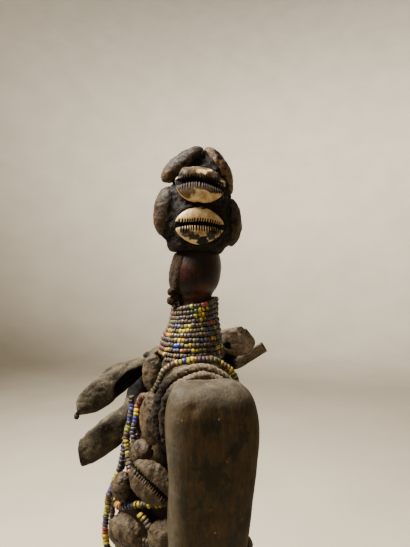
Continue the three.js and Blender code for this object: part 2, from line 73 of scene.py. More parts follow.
# The torso's half-width, front depth and back depth at each height, from the hips up to the neck
TORSO = [
    (58, 14, 11, 11), (63, 18, 15, 15.5), (70, 19, 18.5, 18.5), (78, 19, 22, 18.5), (87, 18.3, 26, 17),
    (97, 17.5, 28.2, 16), (107, 17, 28.7, 15.5), (117, 17, 27.6, 15.5), (127, 16.6, 25, 15.5),
    (137, 16.3, 21.2, 15.5), (147, 16.3, 17.4, 15), (156, 16.6, 14.6, 14), (162, 17, 13, 13.2),
    (166, 15.5, 12, 11.8), (168, 13, 11, 10.4),
]

# The beads' outer radius and the neck's centre line (Y) at each height of the collar
NECK = [
    (166, 12.9, -1), (169.5, 12.9, -1), (172.4, 12.6, -1), (175.5, 11.9, -0.9), (179.4, 10.6, -0.2),
    (183.3, 9.8, 0), (188.7, 9.3, 0.3), (192, 9.3, 0.3),
]

# The barrel head: radius and centre line (Y) at each height, up to the rounded top under the cap
HEAD = [
    (189.8, 5.8, 0.3), (191.6, 6.6, 0.2), (193, 7.8, -0.1), (194.8, 8.95, 0), (197.4, 9.65, 0.3),
    (200.2, 9.85, 0.6), (203, 9.75, 1), (206, 9.15, 1.3), (208.6, 8.3, 1.5), (211.4, 7.2, 1.4),
    (213, 5, 1.4),
]

# An arm below the shoulder: height, inner and outer side (X), front and back (Y)
ARM = [
    (77.5, 31, 38, -8.5, 2.5), (80.5, 28.8, 40, -12.6, 5.6), (88, 28.2, 41, -14.4, 7),
    (98, 28.3, 41.6, -14.6, 7.8), (109, 28.6, 42.2, -14.5, 8.6), (121, 28.7, 42.8, -14.4, 9.7),
    (132, 28.6, 43, -14.4, 11.1), (142, 28.3, 43.2, -14.7, 12.6), (150, 27.6, 43.3, -15.3, 13.4),
    (157, 27.3, 43, -15.3, 13), (162.5, 27.4, 42, -14.4, 11.6), (165.8, 28.4, 39.4, -12.4, 9.2),
    (166.9, 30.5, 36, -9, 5.5),
]
ARM_POWER = 3.3

# The shoulder bar that joins an arm to the torso: X, front and back (Y), underside and top (Z)
SHOULDER = [
    (6, -8, 8, 144, 167.6), (15.5, -11.6, 10, 140.8, 168), (18, -13, 9.8, 140.4, 167.6),
    (21, -14, 9.4, 140.2, 166.4), (24.6, -12.2, 8.2, 141, 164.5), (35, -11, 8, 142.5, 163),
]
SHOULDER_POWER = 2.1

# A leg, bent and blocky: height, centre (X, Y), half-width and half-depth
LEG = [
    (8, 15.6, 0.6, 8, 8.6), (14, 15.6, 1.6, 7.8, 8.2), (24, 15.4, 2.6, 9.8, 10.6), (32, 15, 0.4, 9.8, 10.4),
    (37, 14.6, -4.2, 10.2, 11.2), (44, 13.8, -5, 11.2, 12.8), (54, 12, -3, 11.8, 13.8), (68, 8.6, -1, 8, 11),
]
LEG_POWER = 3

# A foot: Y, centre (X), half-width and height
FOOT = [
    (12.6, 15.4, 6, 6), (10, 15.6, 8.8, 9.5), (2, 15.8, 10.2, 12), (-9, 16.2, 11.4, 11), (-18, 16.6, 12, 8.4),
    (-23.5, 16.8, 11, 6.6), (-25.6, 16.8, 8.6, 4.2),
]
FOOT_POWER = 2.6


# Numbers along and across a shape

def unit(vector):
    return np.asarray(vector, float) / np.linalg.norm(vector)


def unit_rows(vectors):
    return vectors / np.maximum(np.linalg.norm(vectors, axis=1), 1e-9)[:, None]


def pushed(points, directions, amounts):
    """Points moved by an amount each, along directions of their own."""
    return points + unit_rows(directions) * amounts[:, None]


def row_at(table, height):
    """Values of a table's row at a height between its rows."""
    rows = np.array(sorted(table), float)
    return [np.interp(height, rows[:, 0], column) for column in rows.T]


def ease(value, start, end):
    """0 before the start and 1 past the end, which may be the smaller of the two."""
    share = np.clip((np.asarray(value, float) - start) / (end - start), 0, 1)
    return share * share * (3 - 2 * share)


def signed_power(value, power):
    return np.sign(value) * np.abs(value) ** power


def full_turn(count):
    """Angles all round, in equal steps."""
    return np.linspace(0, 2 * math.pi, count, endpoint=False)


def grain(points, size, seed=0):
    """Smooth noise from -1 to 1 at each point, with features of a given size."""
    spots = np.asarray(points, float) / size + 17.3 * seed
    cell = np.floor(spots)
    part = spots - cell
    part = part * part * (3 - 2 * part)
    total = np.zeros(len(spots))
    for corner in itertools.product((0, 1), repeat=3):
        key = (cell + corner) @ np.array((127.1, 311.7, 74.7))
        weight = np.where(corner, part, 1 - part).prod(axis=1)
        total += weight * (np.sin(key) * 43758.5453 % 1)
    return 2 * total - 1


def layers(points, *rows):
    """Noise at each point in layers, each with its size, depth and seed."""
    return sum(grain(points, size, seed) * depth for size, depth, seed in rows)


def curve(points, steps, closed=False):
    """A smooth line through points, with a number of steps in each span (centripetal Catmull-Rom)."""
    knots = np.array(points, float)
    if closed:
        knots = np.vstack([knots[-1], knots, knots[:2]])
    else:
        knots = np.vstack([2 * knots[0] - knots[1], knots, 2 * knots[-1] - knots[-2]])
    shares = np.linspace(0, 1, steps, endpoint=False)[:, None]
    line = []
    for a, b, c, d in zip(knots, knots[1:], knots[2:], knots[3:]):
        before, here, after = (max(np.linalg.norm(q - p), 1e-6) ** 0.5 for p, q in ((a, b), (b, c), (c, d)))
        leave = ((b - a) / before - (c - a) / (before + here) + (c - b) / here) * here
        reach = ((c - b) / here - (d - b) / (here + after) + (d - c) / after) * here
        line.append(b + leave * shares + (3 * (c - b) - 2 * leave - reach) * shares ** 2
                    + (2 * (b - c) + leave + reach) * shares ** 3)
    if not closed:
        line.append(knots[-2:-1])
    return np.vstack(line)


def lengths(line):
    """How far along a line each of its points is."""
    return np.concatenate([[0], np.cumsum(np.linalg.norm(np.diff(line, axis=0), axis=1))])


def spaced(line, spacing, closed=False):
    """Points along a line at an even spacing."""
    if closed:
        line = np.vstack([line, line[:1]])
    along = lengths(line)
    count = max(3, round(along[-1] / spacing))
    stations = np.linspace(0, along[-1], count + 1)
    if closed:
        stations = stations[:-1]
    return np.stack([np.interp(stations, along, column) for column in line.T], axis=1)


def frames(line, closed=False, hint=UP):
    """The direction of a line at each of its points, and two directions across it."""
    if closed:
        ahead = np.roll(line, -1, axis=0) - np.roll(line, 1, axis=0)
    else:
        ahead = np.gradient(line, axis=0)
    ahead = unit_rows(ahead)
    first = np.cross(ahead[0], hint)
    if np.linalg.norm(first) < 0.05:
        first = np.cross(ahead[0], (0.0, 1.0, 0.1))
    across = [unit(first)]
    for direction in ahead[1:]:
        across.append(unit(across[-1] - direction * (across[-1] @ direction)))
    across = np.array(across)
    return ahead, across, np.cross(ahead, across)


def oval(centre, half_a, half_b, power, count):
    """A closed ring of points: a rounded rectangle or oval given by its two half-axes."""
    angle = full_turn(count)
    a = signed_power(np.cos(angle), 2 / power)
    b = signed_power(np.sin(angle), 2 / power)
    return np.asarray(centre) + np.outer(a, half_a) + np.outer(b, half_b)


# Meshes: a shape is a pair of its points and its faces

def grid_faces(rows, count, joined=False):
    spans = rows if joined else rows - 1
    row = np.arange(spans)[:, None]
    i = np.arange(count)[None, :]
    j = (i + 1) % count
    near, far = row * count, ((row + 1) % rows) * count
    return np.stack([near + i, near + j, far + j, far + i], axis=-1).reshape(-1, 4)


def skin(rings, joined=False):
    """A skin over rings with the same number of points, its faces turned outwards."""
    rings = np.array(rings)
    rows, count, _ = rings.shape
    points = rings.reshape(-1, 3)
    faces = grid_faces(rows, count, joined)
    a, b, c, d = (points[faces[:, k]] - points.mean(axis=0) for k in range(4))
    inward = np.sum(a * np.cross(b, c)) + np.sum(a * np.cross(c, d)) < 0
    if inward:
        faces = faces[:, ::-1]
    faces = faces.tolist()
    if not joined:
        first = list(range(count))
        last = list(range((rows - 1) * count, rows * count))
        faces.append(first if inward else first[::-1])
        faces.append(last[::-1] if inward else last)
    return points, faces


def together(shapes):
    """One shape from several."""
    points, faces = [], []
    start = 0
    for some_points, some_faces in shapes:
        points.append(some_points)
        faces.extend([corner + start for corner in face] for face in some_faces)
        start += len(some_points)
    return np.vstack(points), faces


def padded(values, shape, rest):
    """Values for a shape's first points, and one more value for all its others."""
    return np.concatenate([values, np.full(len(shape[0]) - len(values), float(rest))])


def with_settings(thing, **settings):
    for key, value in settings.items():
        setattr(thing, key, value)
    return thing


def add(name, data):
    thing = bpy.data.objects.new(name, data)
    bpy.context.collection.objects.link(thing)
    return thing


def new_object(name, shape):
    points, faces = shape
    mesh = bpy.data.meshes.new(name)
    mesh.from_pydata((points * MM + AXIS).tolist(), [], faces)
    mesh.shade_smooth()
    return add(name, mesh)


def give_values(piece, values):
    """Stores a number or a colour for each point of a piece, for its finish to read."""
    for name, numbers in values.items():
        kind, field = ("FLOAT", "value") if numbers.ndim == 1 else ("FLOAT_COLOR", "color")
        attribute = piece.data.attributes.new(name, kind, "POINT")
        attribute.data.foreach_set(field, numbers.astype(np.float32).ravel())


def settle(piece, finish, slot, *nodes):
    """Gives a piece its finish, and its place among the frame's bodies and nodes; the slot is not used."""
    piece.data.materials.clear()
    piece.data.materials.append(finish)
    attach(piece, "root")
    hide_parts(*nodes)


def make_piece(name, shape, finish, slot, *nodes, **values):
    piece = new_object(name, shape)
    give_values(piece, values)
    settle(piece, finish, slot, *nodes)
    return piece


def with_modifiers(piece):
    """Turns what a piece's modifiers make into its own mesh."""
    graph = bpy.context.evaluated_depsgraph_get()
    mesh = bpy.data.meshes.new_from_object(piece.evaluated_get(graph))
    piece.modifiers.clear()
    piece.data = mesh
    mesh.shade_smooth()


def points_of(piece):
    """A piece's points in the part's millimetres, and the directions that its surface faces there."""
    count = len(piece.data.vertices)
    points, normals = np.zeros(count * 3), np.zeros(count * 3)
    piece.data.vertices.foreach_get("co", points)
    piece.data.vertex_normals.foreach_get("vector", normals)
    return (points.reshape(-1, 3) - AXIS) / MM, normals.reshape(-1, 3)


def move_points(piece, points):
    piece.data.vertices.foreach_set("co", (points * MM + AXIS).ravel())
    piece.data.update()


# Finishes

def colour(code):
    """A colour from six hexadecimal digits, as light."""
    shares = [int(code[i:i + 2], 16) / 255 for i in (0, 2, 4)]
    return tuple(s / 12.92 if s < 0.04045 else ((s + 0.055) / 1.055) ** 2.4 for s in shares) + (1,)


class Finish:
    """A material that is built up node by node."""

    def __init__(self, name, **constants):
        self.material = bpy.data.materials.new(name)
        self.material.use_nodes = True
        self.nodes = self.material.node_tree.nodes
        self.shader = self.nodes["Principled BSDF"]
        self.place = self.node("TexCoord").outputs["Object"]
        for key, value in constants.items():
            self.shader.inputs[key.replace("_", " ")].default_value = value

    def node(self, kind, inputs=(), **settings):
        made = with_settings(self.nodes.new(f"ShaderNode{kind}"), **settings)
        for key, value in dict(inputs).items():
            self.feed(made.inputs[key], value)
        return made

    def feed(self, socket, value):
        if isinstance(value, bpy.types.NodeSocket):
            self.material.node_tree.links.new(value, socket)
        else:
            socket.default_value = colour(value) if isinstance(value, str) else value

    def noise(self, size, detail=4, stretch=(1, 1, 1), roughness=0.55):
        """Noise from 0 to 1 with features of a size in millimetres, drawn out along some axes."""
        scale = tuple(1 / s for s in stretch)
        where = self.node("Mapping", {"Vector": self.place, "Scale": scale}).outputs["Vector"]
        inputs = {"Vector": where, "Scale": 1 / (size * MM), "Detail": detail, "Roughness": roughness}
        return self.node("TexNoise", inputs).outputs["Fac"]

    def specks(self, size, reach):
        """1 in small round specks that are size millimetres apart, and 0 between them."""
        where = self.node("TexVoronoi", {"Vector": self.place, "Scale": 1 / (size * MM)})
        return self.spread(where.outputs["Distance"], reach, reach * 0.6)

    def spread(self, value, low, high, to_low=0, to_high=1):
        inputs = {"Value": value, "From Min": low, "From Max": high, "To Min": to_low, "To Max": to_high}
        return self.node("MapRange", inputs).outputs["Result"]

    def height(self):
        return self.node("SeparateXYZ", {"Vector": self.place}).outputs["Z"]

    def value(self, name):
        return self.node("Attribute", attribute_name=name).outputs["Fac"]

    def tint(self, name):
        return self.node("Attribute", attribute_name=name).outputs["Color"]

    def ramp(self, value, *stops):
        made = self.node("ValToRGB", {"Fac": value})
        elements = made.color_ramp.elements
        while len(elements) < len(stops):
            elements.new(0.5)
        for element, (place, code) in zip(elements, stops):
            element.position = place
            element.color = colour(code)
        return made.outputs["Color"]

    def mix(self, share, a, b):
        """Colour a, or colour b where share is 1."""
        return self.node("Mix", {"Factor": share, 6: a, 7: b}, data_type="RGBA").outputs[2]

    def math(self, operation, a, b):
        return self.node("Math", {0: a, 1: b}, operation=operation, use_clamp=True).outputs[0]

    def finish(self, base, roughness, *heights):
        """Links colour, roughness and bumps, each a height from 0 to 1 and its depth in millimetres."""
        self.feed(self.shader.inputs["Base Color"], base)
        self.feed(self.shader.inputs["Roughness"], roughness)
        below = {}
        for height, depth in heights:
            inputs = {"Height": height, "Distance": depth * MM, "Strength": 1, **below}
            below = {"Normal": self.node("Bump", inputs).outputs["Normal"]}
        if below:
            self.feed(self.shader.inputs["Normal"], below["Normal"])
        return self.material


def wood_finish():
    """Dark hardwood: polished and reddish on the head and greyer on its top, dry and dusty on the limbs, with
    painted light on upward faces and painted shade in the hollows among beads.
    """
    polished_from, dust_and_sheen_from = 0.1885, 0.2
    f = Finish("wood", Specular_IOR_Level=0.2)
    streaks = f.noise(1.6, detail=8, stretch=(1, 1, 3), roughness=0.68)
    patches = f.noise(11, detail=5)
    polished = f.spread(f.height(), polished_from, polished_from + 0.0025)
    dry = f.ramp(streaks, (0.3, "191207"), (0.5, "2e230f"), (0.72, "483919"))
    dry = f.mix(f.spread(patches, 0.44, 0.66), dry, f.ramp(streaks, (0.3, "261c0b"), (0.7, "48391c")))
    blotches = f.noise(7, detail=8, stretch=(1, 1, 1.25), roughness=0.62)
    black = f.ramp(streaks, (0.35, "0d0b05"), (0.65, "231e10"))
    dry = f.mix(f.spread(blotches, 0.49, 0.41, 0, 0.85), dry, black)
    reddish = f.ramp(streaks, (0.35, "302110"), (0.65, "4e3a20"))
    dry = f.mix(f.spread(blotches, 0.54, 0.66, 0, 0.7), dry, reddish)
    handled = f.ramp(streaks, (0.3, "0c0503"), (0.5, "180c06"), (0.72, "26150b"))
    handled = f.mix(f.spread(f.noise(9, detail=3), 0.54, 0.68), handled, "3d1204")
    # The head turns greyer above this height: a dusty film and a painted sheen of the light from above
    handled = f.mix(f.spread(f.height(), dust_and_sheen_from, dust_and_sheen_from + 0.007, 0, 0.5), handled, "2c261d")
    base = f.mix(polished, dry, handled)
    # Dusty, with painted top light on upward faces and painted light on the near arm's front bevel: a pale
    # grey-brown
    dust_and_painted_light = f.math("MULTIPLY", f.value("dust_and_painted_light"), f.spread(f.noise(2.2, detail=7), 0.2, 0.62))
    base = f.mix(dust_and_painted_light, base, f.ramp(f.noise(5, detail=6), (0.35, "39332a"), (0.65, "524b3e")))
    specks = f.math("MULTIPLY", f.specks(4.6, 0.1), f.spread(f.noise(9, detail=2), 0.44, 0.54))
    base = f.mix(f.math("MULTIPLY", specks, f.spread(polished, 0, 1, 0.55, 0)), base, "85784f")
    # Near black in the torso's crust hollows: painted shade
    base = f.mix(f.value("crevice"), base, "0a0705")
    dull = f.spread(streaks, 0.2, 0.8, 0.55, 0.85)
    shiny = f.spread(f.noise(2.5, detail=5), 0.3, 0.7, 0.33, 0.5)
    rough = f.node("Mix", {"Factor": polished, 2: dull, 3: shiny}, data_type="FLOAT")
    pores = f.noise(0.5, detail=5, stretch=(1, 1, 7))
    return f.finish(base, rough.outputs[0], (pores, 0.14), (f.noise(0.9, detail=6), 0.12))


def resin_finish():
    """Black-brown resin, dull, with rusty places."""
    f = Finish("resin", Specular_IOR_Level=0.14)
    blotches = f.noise(3.2, detail=7)
    base = f.ramp(blotches, (0.42, "050302"), (0.56, "0d0805"), (0.66, "1d1109"), (0.78, "3a200f"))
    crumbs = f.noise(0.8, detail=6, roughness=0.7)
    base = f.mix(f.spread(crumbs, 0.55, 0.68, 0, 0.8), base, "46351f")
    rough = f.spread(f.noise(1.6, detail=5), 0.3, 0.7, 0.5, 0.95)
    return f.finish(base, rough, (f.noise(1.2, detail=6), 0.6), (crumbs, 0.4))


def shell_finish(name, pale, tan, brown, gloss, share):
    """Cowrie shell in three tones, the brown one over a share of it, darker where it is dirty and where shade
    is painted in its slit and along its lip.
    """
    f = Finish(name, Specular_IOR_Level=0.1 + gloss, Coat_Weight=gloss * 0.3, Coat_Roughness=0.3)
    fine = f.noise(0.7, detail=6)
    base = f.mix(f.spread(f.noise(3, detail=7), 0.44, 0.64), pale, tan)
    stains = f.spread(f.noise(2.3, detail=7), 0.68 - share * 0.3, 0.76 - share * 0.26)
    base = f.mix(stains, base, brown)
    base = f.mix(f.spread(fine, 0.58, 0.74, 0, 0.7), base, tan)
    # Stained brown, and on the smeared lips a band of painted shade under the upper lip
    stain = f.math("ADD", f.value("stain"), f.spread(fine, 0.3, 0.7, -0.1, 0.1))
    base = f.mix(stain, base, f.ramp(fine, (0.38, "22150a"), (0.52, "3a2613"), (0.68, "5c4222")))
    # Dirt, and the painted shade of the slit and between the teeth, darkening to black
    dirt = f.math("ADD", f.value("dirt"), f.spread(fine, 0.35, 0.75, -0.1, 0.1))
    soil_and_slit_shade = f.ramp(dirt, (0.1, "4c361c"), (0.45, "1a110a"), (0.7, "050302"))
    base = f.mix(f.spread(dirt, 0.14, 0.5), base, soil_and_slit_shade)
    flecks = f.noise(0.9, detail=5, roughness=0.7)
    base = f.mix(f.spread(flecks, 0.62, 0.7, 0, share), base, "9a8460")
    scuff = f.math("MULTIPLY", f.value("scuff"), f.spread(f.noise(1.4, detail=7), 0.42, 0.58, 0, 0.75))
    base = f.mix(scuff, base, f.ramp(fine, (0.35, "4a3319"), (0.65, "7a5c38")))
    rough = f.spread(fine, 0.3, 0.7, 0.28 + share * 0.25, 0.5 + share * 0.4)
    rough = f.math("MAXIMUM", rough, f.spread(f.math("MAXIMUM", stain, dirt), 0, 1, 0, 0.85))
    return f.finish(base, rough, (fine, 0.08 + 0.5 * share), (flecks, 0.04 + 0.4 * share))


def bead_finish():
    """Opaque glass beads, each in its own colour, dusted and crusted between them."""
    f = Finish("beads", Specular_IOR_Level=0.5)
    crust = f.noise(0.8, detail=6)
    dirt = f.ramp(f.noise(0.5, detail=5), (0.3, "130e07"), (0.5, "3a2f1c"), (0.72, "6b5a3a"))
    share = f.math("ADD", f.value("crust"), f.spread(crust, 0.46, 0.68, 0, 0.9))
    base = f.mix(share, f.tint("tint"), dirt)
    return f.finish(base, f.spread(share, 0, 1, 0.25, 0.85), (crust, 0.12))


def fibre_finish(name, dark, middle, pale):
    """Matte plant fibre, darker with painted shade between its plies and in its hollows, and with crust."""
    f = Finish(name, Specular_IOR_Level=0.1, Sheen_Weight=0.02)
    fuzz = f.noise(0.45, detail=6)
    base = f.ramp(fuzz, (0.3, dark), (0.5, middle), (0.72, pale))
    base = f.mix(f.spread(f.noise(3, detail=4), 0.45, 0.7), base, middle)
    # Near black with painted shade between plies and in hollows, and with crust
    base = f.mix(f.value("crevice"), base, "100b07")
    return f.finish(base, f.spread(fuzz, 0.3, 0.7, 0.8, 0.98), (fuzz, 0.22))


def leather_finish():
    """Stiff old leather, dark olive-brown and scuffed, with pinholes, and painted shade, near black, on the
    fold's concave face, in its hollow and pit and on its undersides.
    """
    f = Finish("leather", Specular_IOR_Level=0.14)
    cloudy = f.noise(5, detail=7, stretch=(1, 1.8, 1))
    pitted = f.noise(1.1, detail=8, roughness=0.7)
    base = f.ramp(cloudy, (0.34, "201c15"), (0.46, "342e23"), (0.58, "4a4233"), (0.72, "685e4b"))
    base = f.mix(f.spread(pitted, 0.54, 0.7, 0, 0.85), base, "706652")
    base = f.mix(f.spread(pitted, 0.44, 0.32), base, "17140d")
    base = f.mix(f.value("blush"), base, f.ramp(cloudy, (0.34, "544a3a"), (0.5, "766955"), (0.66, "938170")))
    base = f.mix(f.math("MULTIPLY", f.value("blush"), f.spread(pitted, 0.46, 0.36)), base, "221a11")
    # Painted shade: near black on the fold's concave face, in the hollow and pit, under the flap, behind the
    # beads and on undersides
    base = f.mix(f.value("painted_shade"), base, "040302")
    rough = f.spread(pitted, 0.3, 0.7, 0.65, 0.95)
    return f.finish(base, rough, (pitted, 0.5), (f.noise(2.4, detail=4), 0.5))


WOOD = wood_finish()
RESIN = resin_finish()
CREAM_SHELL = shell_finish("cream_shell", "cbb07c", "a07e4c", "52351a", 0.18, 0.06)
TAN_SHELL = shell_finish("tan_shell", "6c5235", "473321", "1b120a", 0.05, 0.6)
DARK_SHELL = shell_finish("dark_shell", "392b1e", "231910", "0d0906", 0.06, 0.6)
WORN_SHELL = shell_finish("worn_shell", "4e4232", "362b1e", "18120b", 0.03, 0.5)
BEADS = bead_finish()
CORD = fibre_finish("cord", "33291f", "695c49", "998a73")
FIBRE = fibre_finish("fibre", "100a05", "281c11", "503e29")
LEATHER = leather_finish()


# The carved figure

SIDES = 96
VOXEL = 0.9


def torso():
    rings = []
    for z, half_width, front, back in curve(TORSO, 8):
        ring = oval((0, 0, z), (half_width, 0, 0), (0, 1, 0), 2, SIDES)
        ring[:, 1] *= np.where(ring[:, 1] < 0, front, back)
        rings.append(ring)
    return skin(rings)


def lathe(rows):
    """A round body from rows of height, radius and centre line (Y)."""
    return skin([oval((0, y, z), (radius, 0, 0), (0, radius, 0), 2, SIDES) for z, radius, y in rows])


def neck():
    return lathe(curve([(z, radius - COLLAR_BEAD - 2 * GAP, y) for z, radius, y in NECK], 6))


def shoulder_ring(side, x, front, back, bottom, top, lift, count):
    """A ring round a shoulder bar, at a lift from its wood."""
    return oval((side * x, (front + back) / 2, (bottom + top) / 2), (0, (back - front) / 2 + lift, 0),
                (0, 0, (top - bottom) / 2 + lift), SHOULDER_POWER, count)


def shoulder(side):
    return skin([shoulder_ring(side, *row, 0, SIDES) for row in curve(SHOULDER, 8)])


def arm(side):
    return skin([
        oval((side * (inner + outer) / 2, (front + back) / 2, z), ((outer - inner) / 2, 0, 0),
             (0, (back - front) / 2, 0), ARM_POWER, SIDES)
        for z, inner, outer, front, back in curve(ARM, 8)
    ])


def leg(side):
    return skin([
        oval((side * x, y, z), (half_width, 0, 0), (0, half_depth, 0), LEG_POWER, SIDES)
        for z, x, y, half_width, half_depth in curve(LEG, 8)
    ])


def foot(side):
    points, faces = skin([
        oval((side * x, y, 0), (half_width, 0, 0), (0, 0, height), FOOT_POWER, SIDES)
        for y, x, half_width, height in curve(FOOT, 8)
    ])
    points[:, 2] = np.maximum(points[:, 2], 0)
    return points, faces


# Small dents in the near arm's outer side: Y, Z, radius and depth
DENTS = [
    (-7.9, 161.4, 1.4, 0.8), (3.2, 150, 2.2, 0.3), (-3.4, 133, 2.8, 0.35), (4, 121, 2.4, 0.3),
    (-6, 110, 3, 0.3),
]
ARM_OUTER_SIDE = 38


def make_figure():
    limbs = [shape(side) for side in (1, -1) for shape in (shoulder, arm, leg, foot)]
    piece = new_object("carved_figure", together([torso(), neck(), lathe(curve(HEAD, 8)), *limbs]))
    with_settings(piece.modifiers.new("one skin", "REMESH"), mode="VOXEL", voxel_size=VOXEL * MM)
    with_settings(piece.modifiers.new("soften", "SMOOTH"), factor=0.5, iterations=6)
    with_modifiers(piece)
    points, normals = points_of(piece)
    on_head = ease(points[:, 2], 188, 192)
    on_torso = ease(np.abs(points[:, 0]), 24, 19) * ease(points[:, 2], 88, 98)
    on_torso *= 1 - on_head
    off_floor = ease(points[:, 2], 0.4, 2)
    tool_marks = grain(points * (1, 1, 0.45), 4.5, 1) * 0.28 + grain(points * (1, 1, 0.6), 9, 2) * 0.35
    crust = layers(points, (1.7, 0.35, 3), (3.4, 0.4, 4))
    lift = tool_marks * (1 - 0.6 * on_head) * (1 - on_torso) + crust * on_torso
    for y, z, radius, depth in DENTS:
        away = np.hypot(points[:, 1] - y, points[:, 2] - z) / radius
        lift -= depth * np.exp(-away ** 2) * (points[:, 0] > ARM_OUTER_SIDE)
    points += normals * (lift * off_floor)[:, None]
    points[:, 2] = np.maximum(points[:, 2], 0)
    move_points(piece, points)
    # Upward faces are dusty and get painted top light; the near arm's front bevel gets painted light from the
    # left, with some wear
    dust_and_painted_light = ease(normals[:, 2], 0.08, 0.85) * (1 - on_head)
    worn_and_lit_arm_bevel = ease(points[:, 1], -9, -13) * ease(np.abs(points[:, 0]), 33, ARM_OUTER_SIDE)
    dust_and_painted_light = np.maximum(dust_and_painted_light, worn_and_lit_arm_bevel * ease(points[:, 2], 76, 90) * 0.6)
    # Painted shade in the hollows of the torso's crust among the beads and shells
    crevice = on_torso * ease(grain(points, 3.4, 4), 0.1, -0.7) * 0.8
    give_values(piece, {"dust_and_painted_light": dust_and_painted_light, "crevice": crevice})
    settle(piece, WOOD, "wood", "figure")


# Cowrie shells, made along their own X with the toothed slit facing their own +Z

# A shell's slit: its half-width, its shift towards the upper lip and its slope, the length of the teeth on
# the upper and lower lip, how rough the upper lip is, the places that are stained or carry painted shade,
# and the places that are dirty: along, up, two reaches and amount
Lips = namedtuple("Lips", "slit shift slope upper_teeth lower_teeth rough stains grime")
TOOTH_PITCH = 0.92

# How a shell narrows towards its ends: the powers of its outline
BLUNT_ENDS = (2.2, 0.55)
POINTED_ENDS = (1.75, 0.66)

# How many points a shell has along and across it
FINE_GRID = (150, 84)
PLAIN_GRID = (80, 52)
COARSE_GRID = (72, 44)


def cowrie(length, width, height, lips, seed, rows, across, ends=BLUNT_ENDS):
    """A shell, and how stained (with any painted shade band of its lips) and how dirty (with painted shade in
    the slit and between the teeth) each of its points is.
    """
    run = np.linspace(-1, 1, rows)
    u = 0.9996 * (0.45 * run + 0.55 * np.sin(run * math.pi / 2))
    share = (1 - np.abs(u) ** ends[0]) ** ends[1] * (1 - 0.06 * u)
    t = np.linspace(-1, 1, across)
    slit_side = signed_power(t, 1.3) * math.pi / 2
    domed = np.linspace(math.pi / 2, 3 * math.pi / 2, across // 2)[1:-1]
    angle = np.concatenate([slit_side, domed])
    facing = np.arange(len(angle)) < across

    x = np.repeat(u[:, None] * length / 2, len(angle), axis=1)
    y = share[:, None] * (width / 2) * np.sin(angle)
    rise = np.where(facing, 0.85, 1.1) * np.cos(angle)
    z = share[:, None] * (height / 2) * signed_power(rise, np.where(facing, 0.8, 1))

    off = y - lips.shift - lips.slope * x - (width * 0.035 * np.cos(u * 2.6))[:, None]
    upper = off > 0
    away = np.abs(off)
    line = np.stack([x, x * 0, x * 0 + seed], axis=-1).reshape(-1, 3)
    wobbled = x + 0.35 * grain(line, 2.1, seed).reshape(x.shape)
    ridge = 0.5 + 0.5 * np.cos(2 * math.pi * wobbled / TOOTH_PITCH + np.where(upper, 0.0, 1.9))
    inner = ease(np.abs(x), length * 0.46, length * 0.37)
    reach = np.where(upper, lips.upper_teeth, lips.lower_teeth)
    gap = lips.slit * (0.75 + 0.45 * np.abs(u) ** 2 + 0.12 * np.sin(u * 5 + seed))[:, None]
    opening = gap - 0.36 * ridge * inner
    toothed = ease(away, gap + reach, gap + reach * 0.35) * inner
    sink = ease(away, opening + 0.2, opening * 0.5)
    roll = 0.7 * np.exp(-((away - opening).clip(0) / 0.8) ** 1.5)
    sunk = sink * min(height * 0.36, 3) + roll * (1 - sink) + toothed * (1 - sink) * 0.5 * (1 - ridge)
    z = z - facing * sunk * share[:, None]

    flat = np.stack([x, y, z], axis=-1).reshape(-1, 3)
    spot = flat + 40 * seed
    lumps = layers(spot, (2.8, 0.16, 0), (1.1, 0.06, 0))
    lumps += lips.rough * grain(spot, 1.7, 3) * ease(off.ravel(), 0.6, 2)
    flat = flat * (1 + lumps[:, None] / (width / 2))
    stain, dirt = (np.zeros(z.size) for _ in range(2))
    ragged = layers(spot, (1.9, 0.6, 5), (0.8, 0.35, 6)) * 0.75
    for amounts, places in ((stain, lips.stains), (dirt, lips.grime)):
        for along, up, reach_along, reach_up, amount in places:
            spread = np.hypot((flat[:, 0] - along) / reach_along, (flat[:, 1] - up) / reach_up)
            np.maximum(amounts, amount * ease(spread + ragged, 1.15, 0.85), out=amounts)
    # Painted shade: the sunk slit and the gaps between the teeth are darkened as if dirty
    slit_shade = facing * np.maximum(sink * 1.3, toothed * (1 - ridge) * 1.1)
    on_slit_side = np.tile(facing, rows)
    points, faces = skin(flat.reshape(*x.shape, 3))
    return points, faces, stain * on_slit_side, np.maximum(dirt * on_slit_side, slit_shade.ravel())


def shell_axes(along, out):
    x = unit(along)
    z = unit(np.asarray(out, float) - x * (np.asarray(out) @ x))
    return np.array((x, np.cross(z, x), z))


def placed(points, centre, along, out):
    """Points moved from a shell's own frame to its place."""
    return points @ shell_axes(along, out) + centre


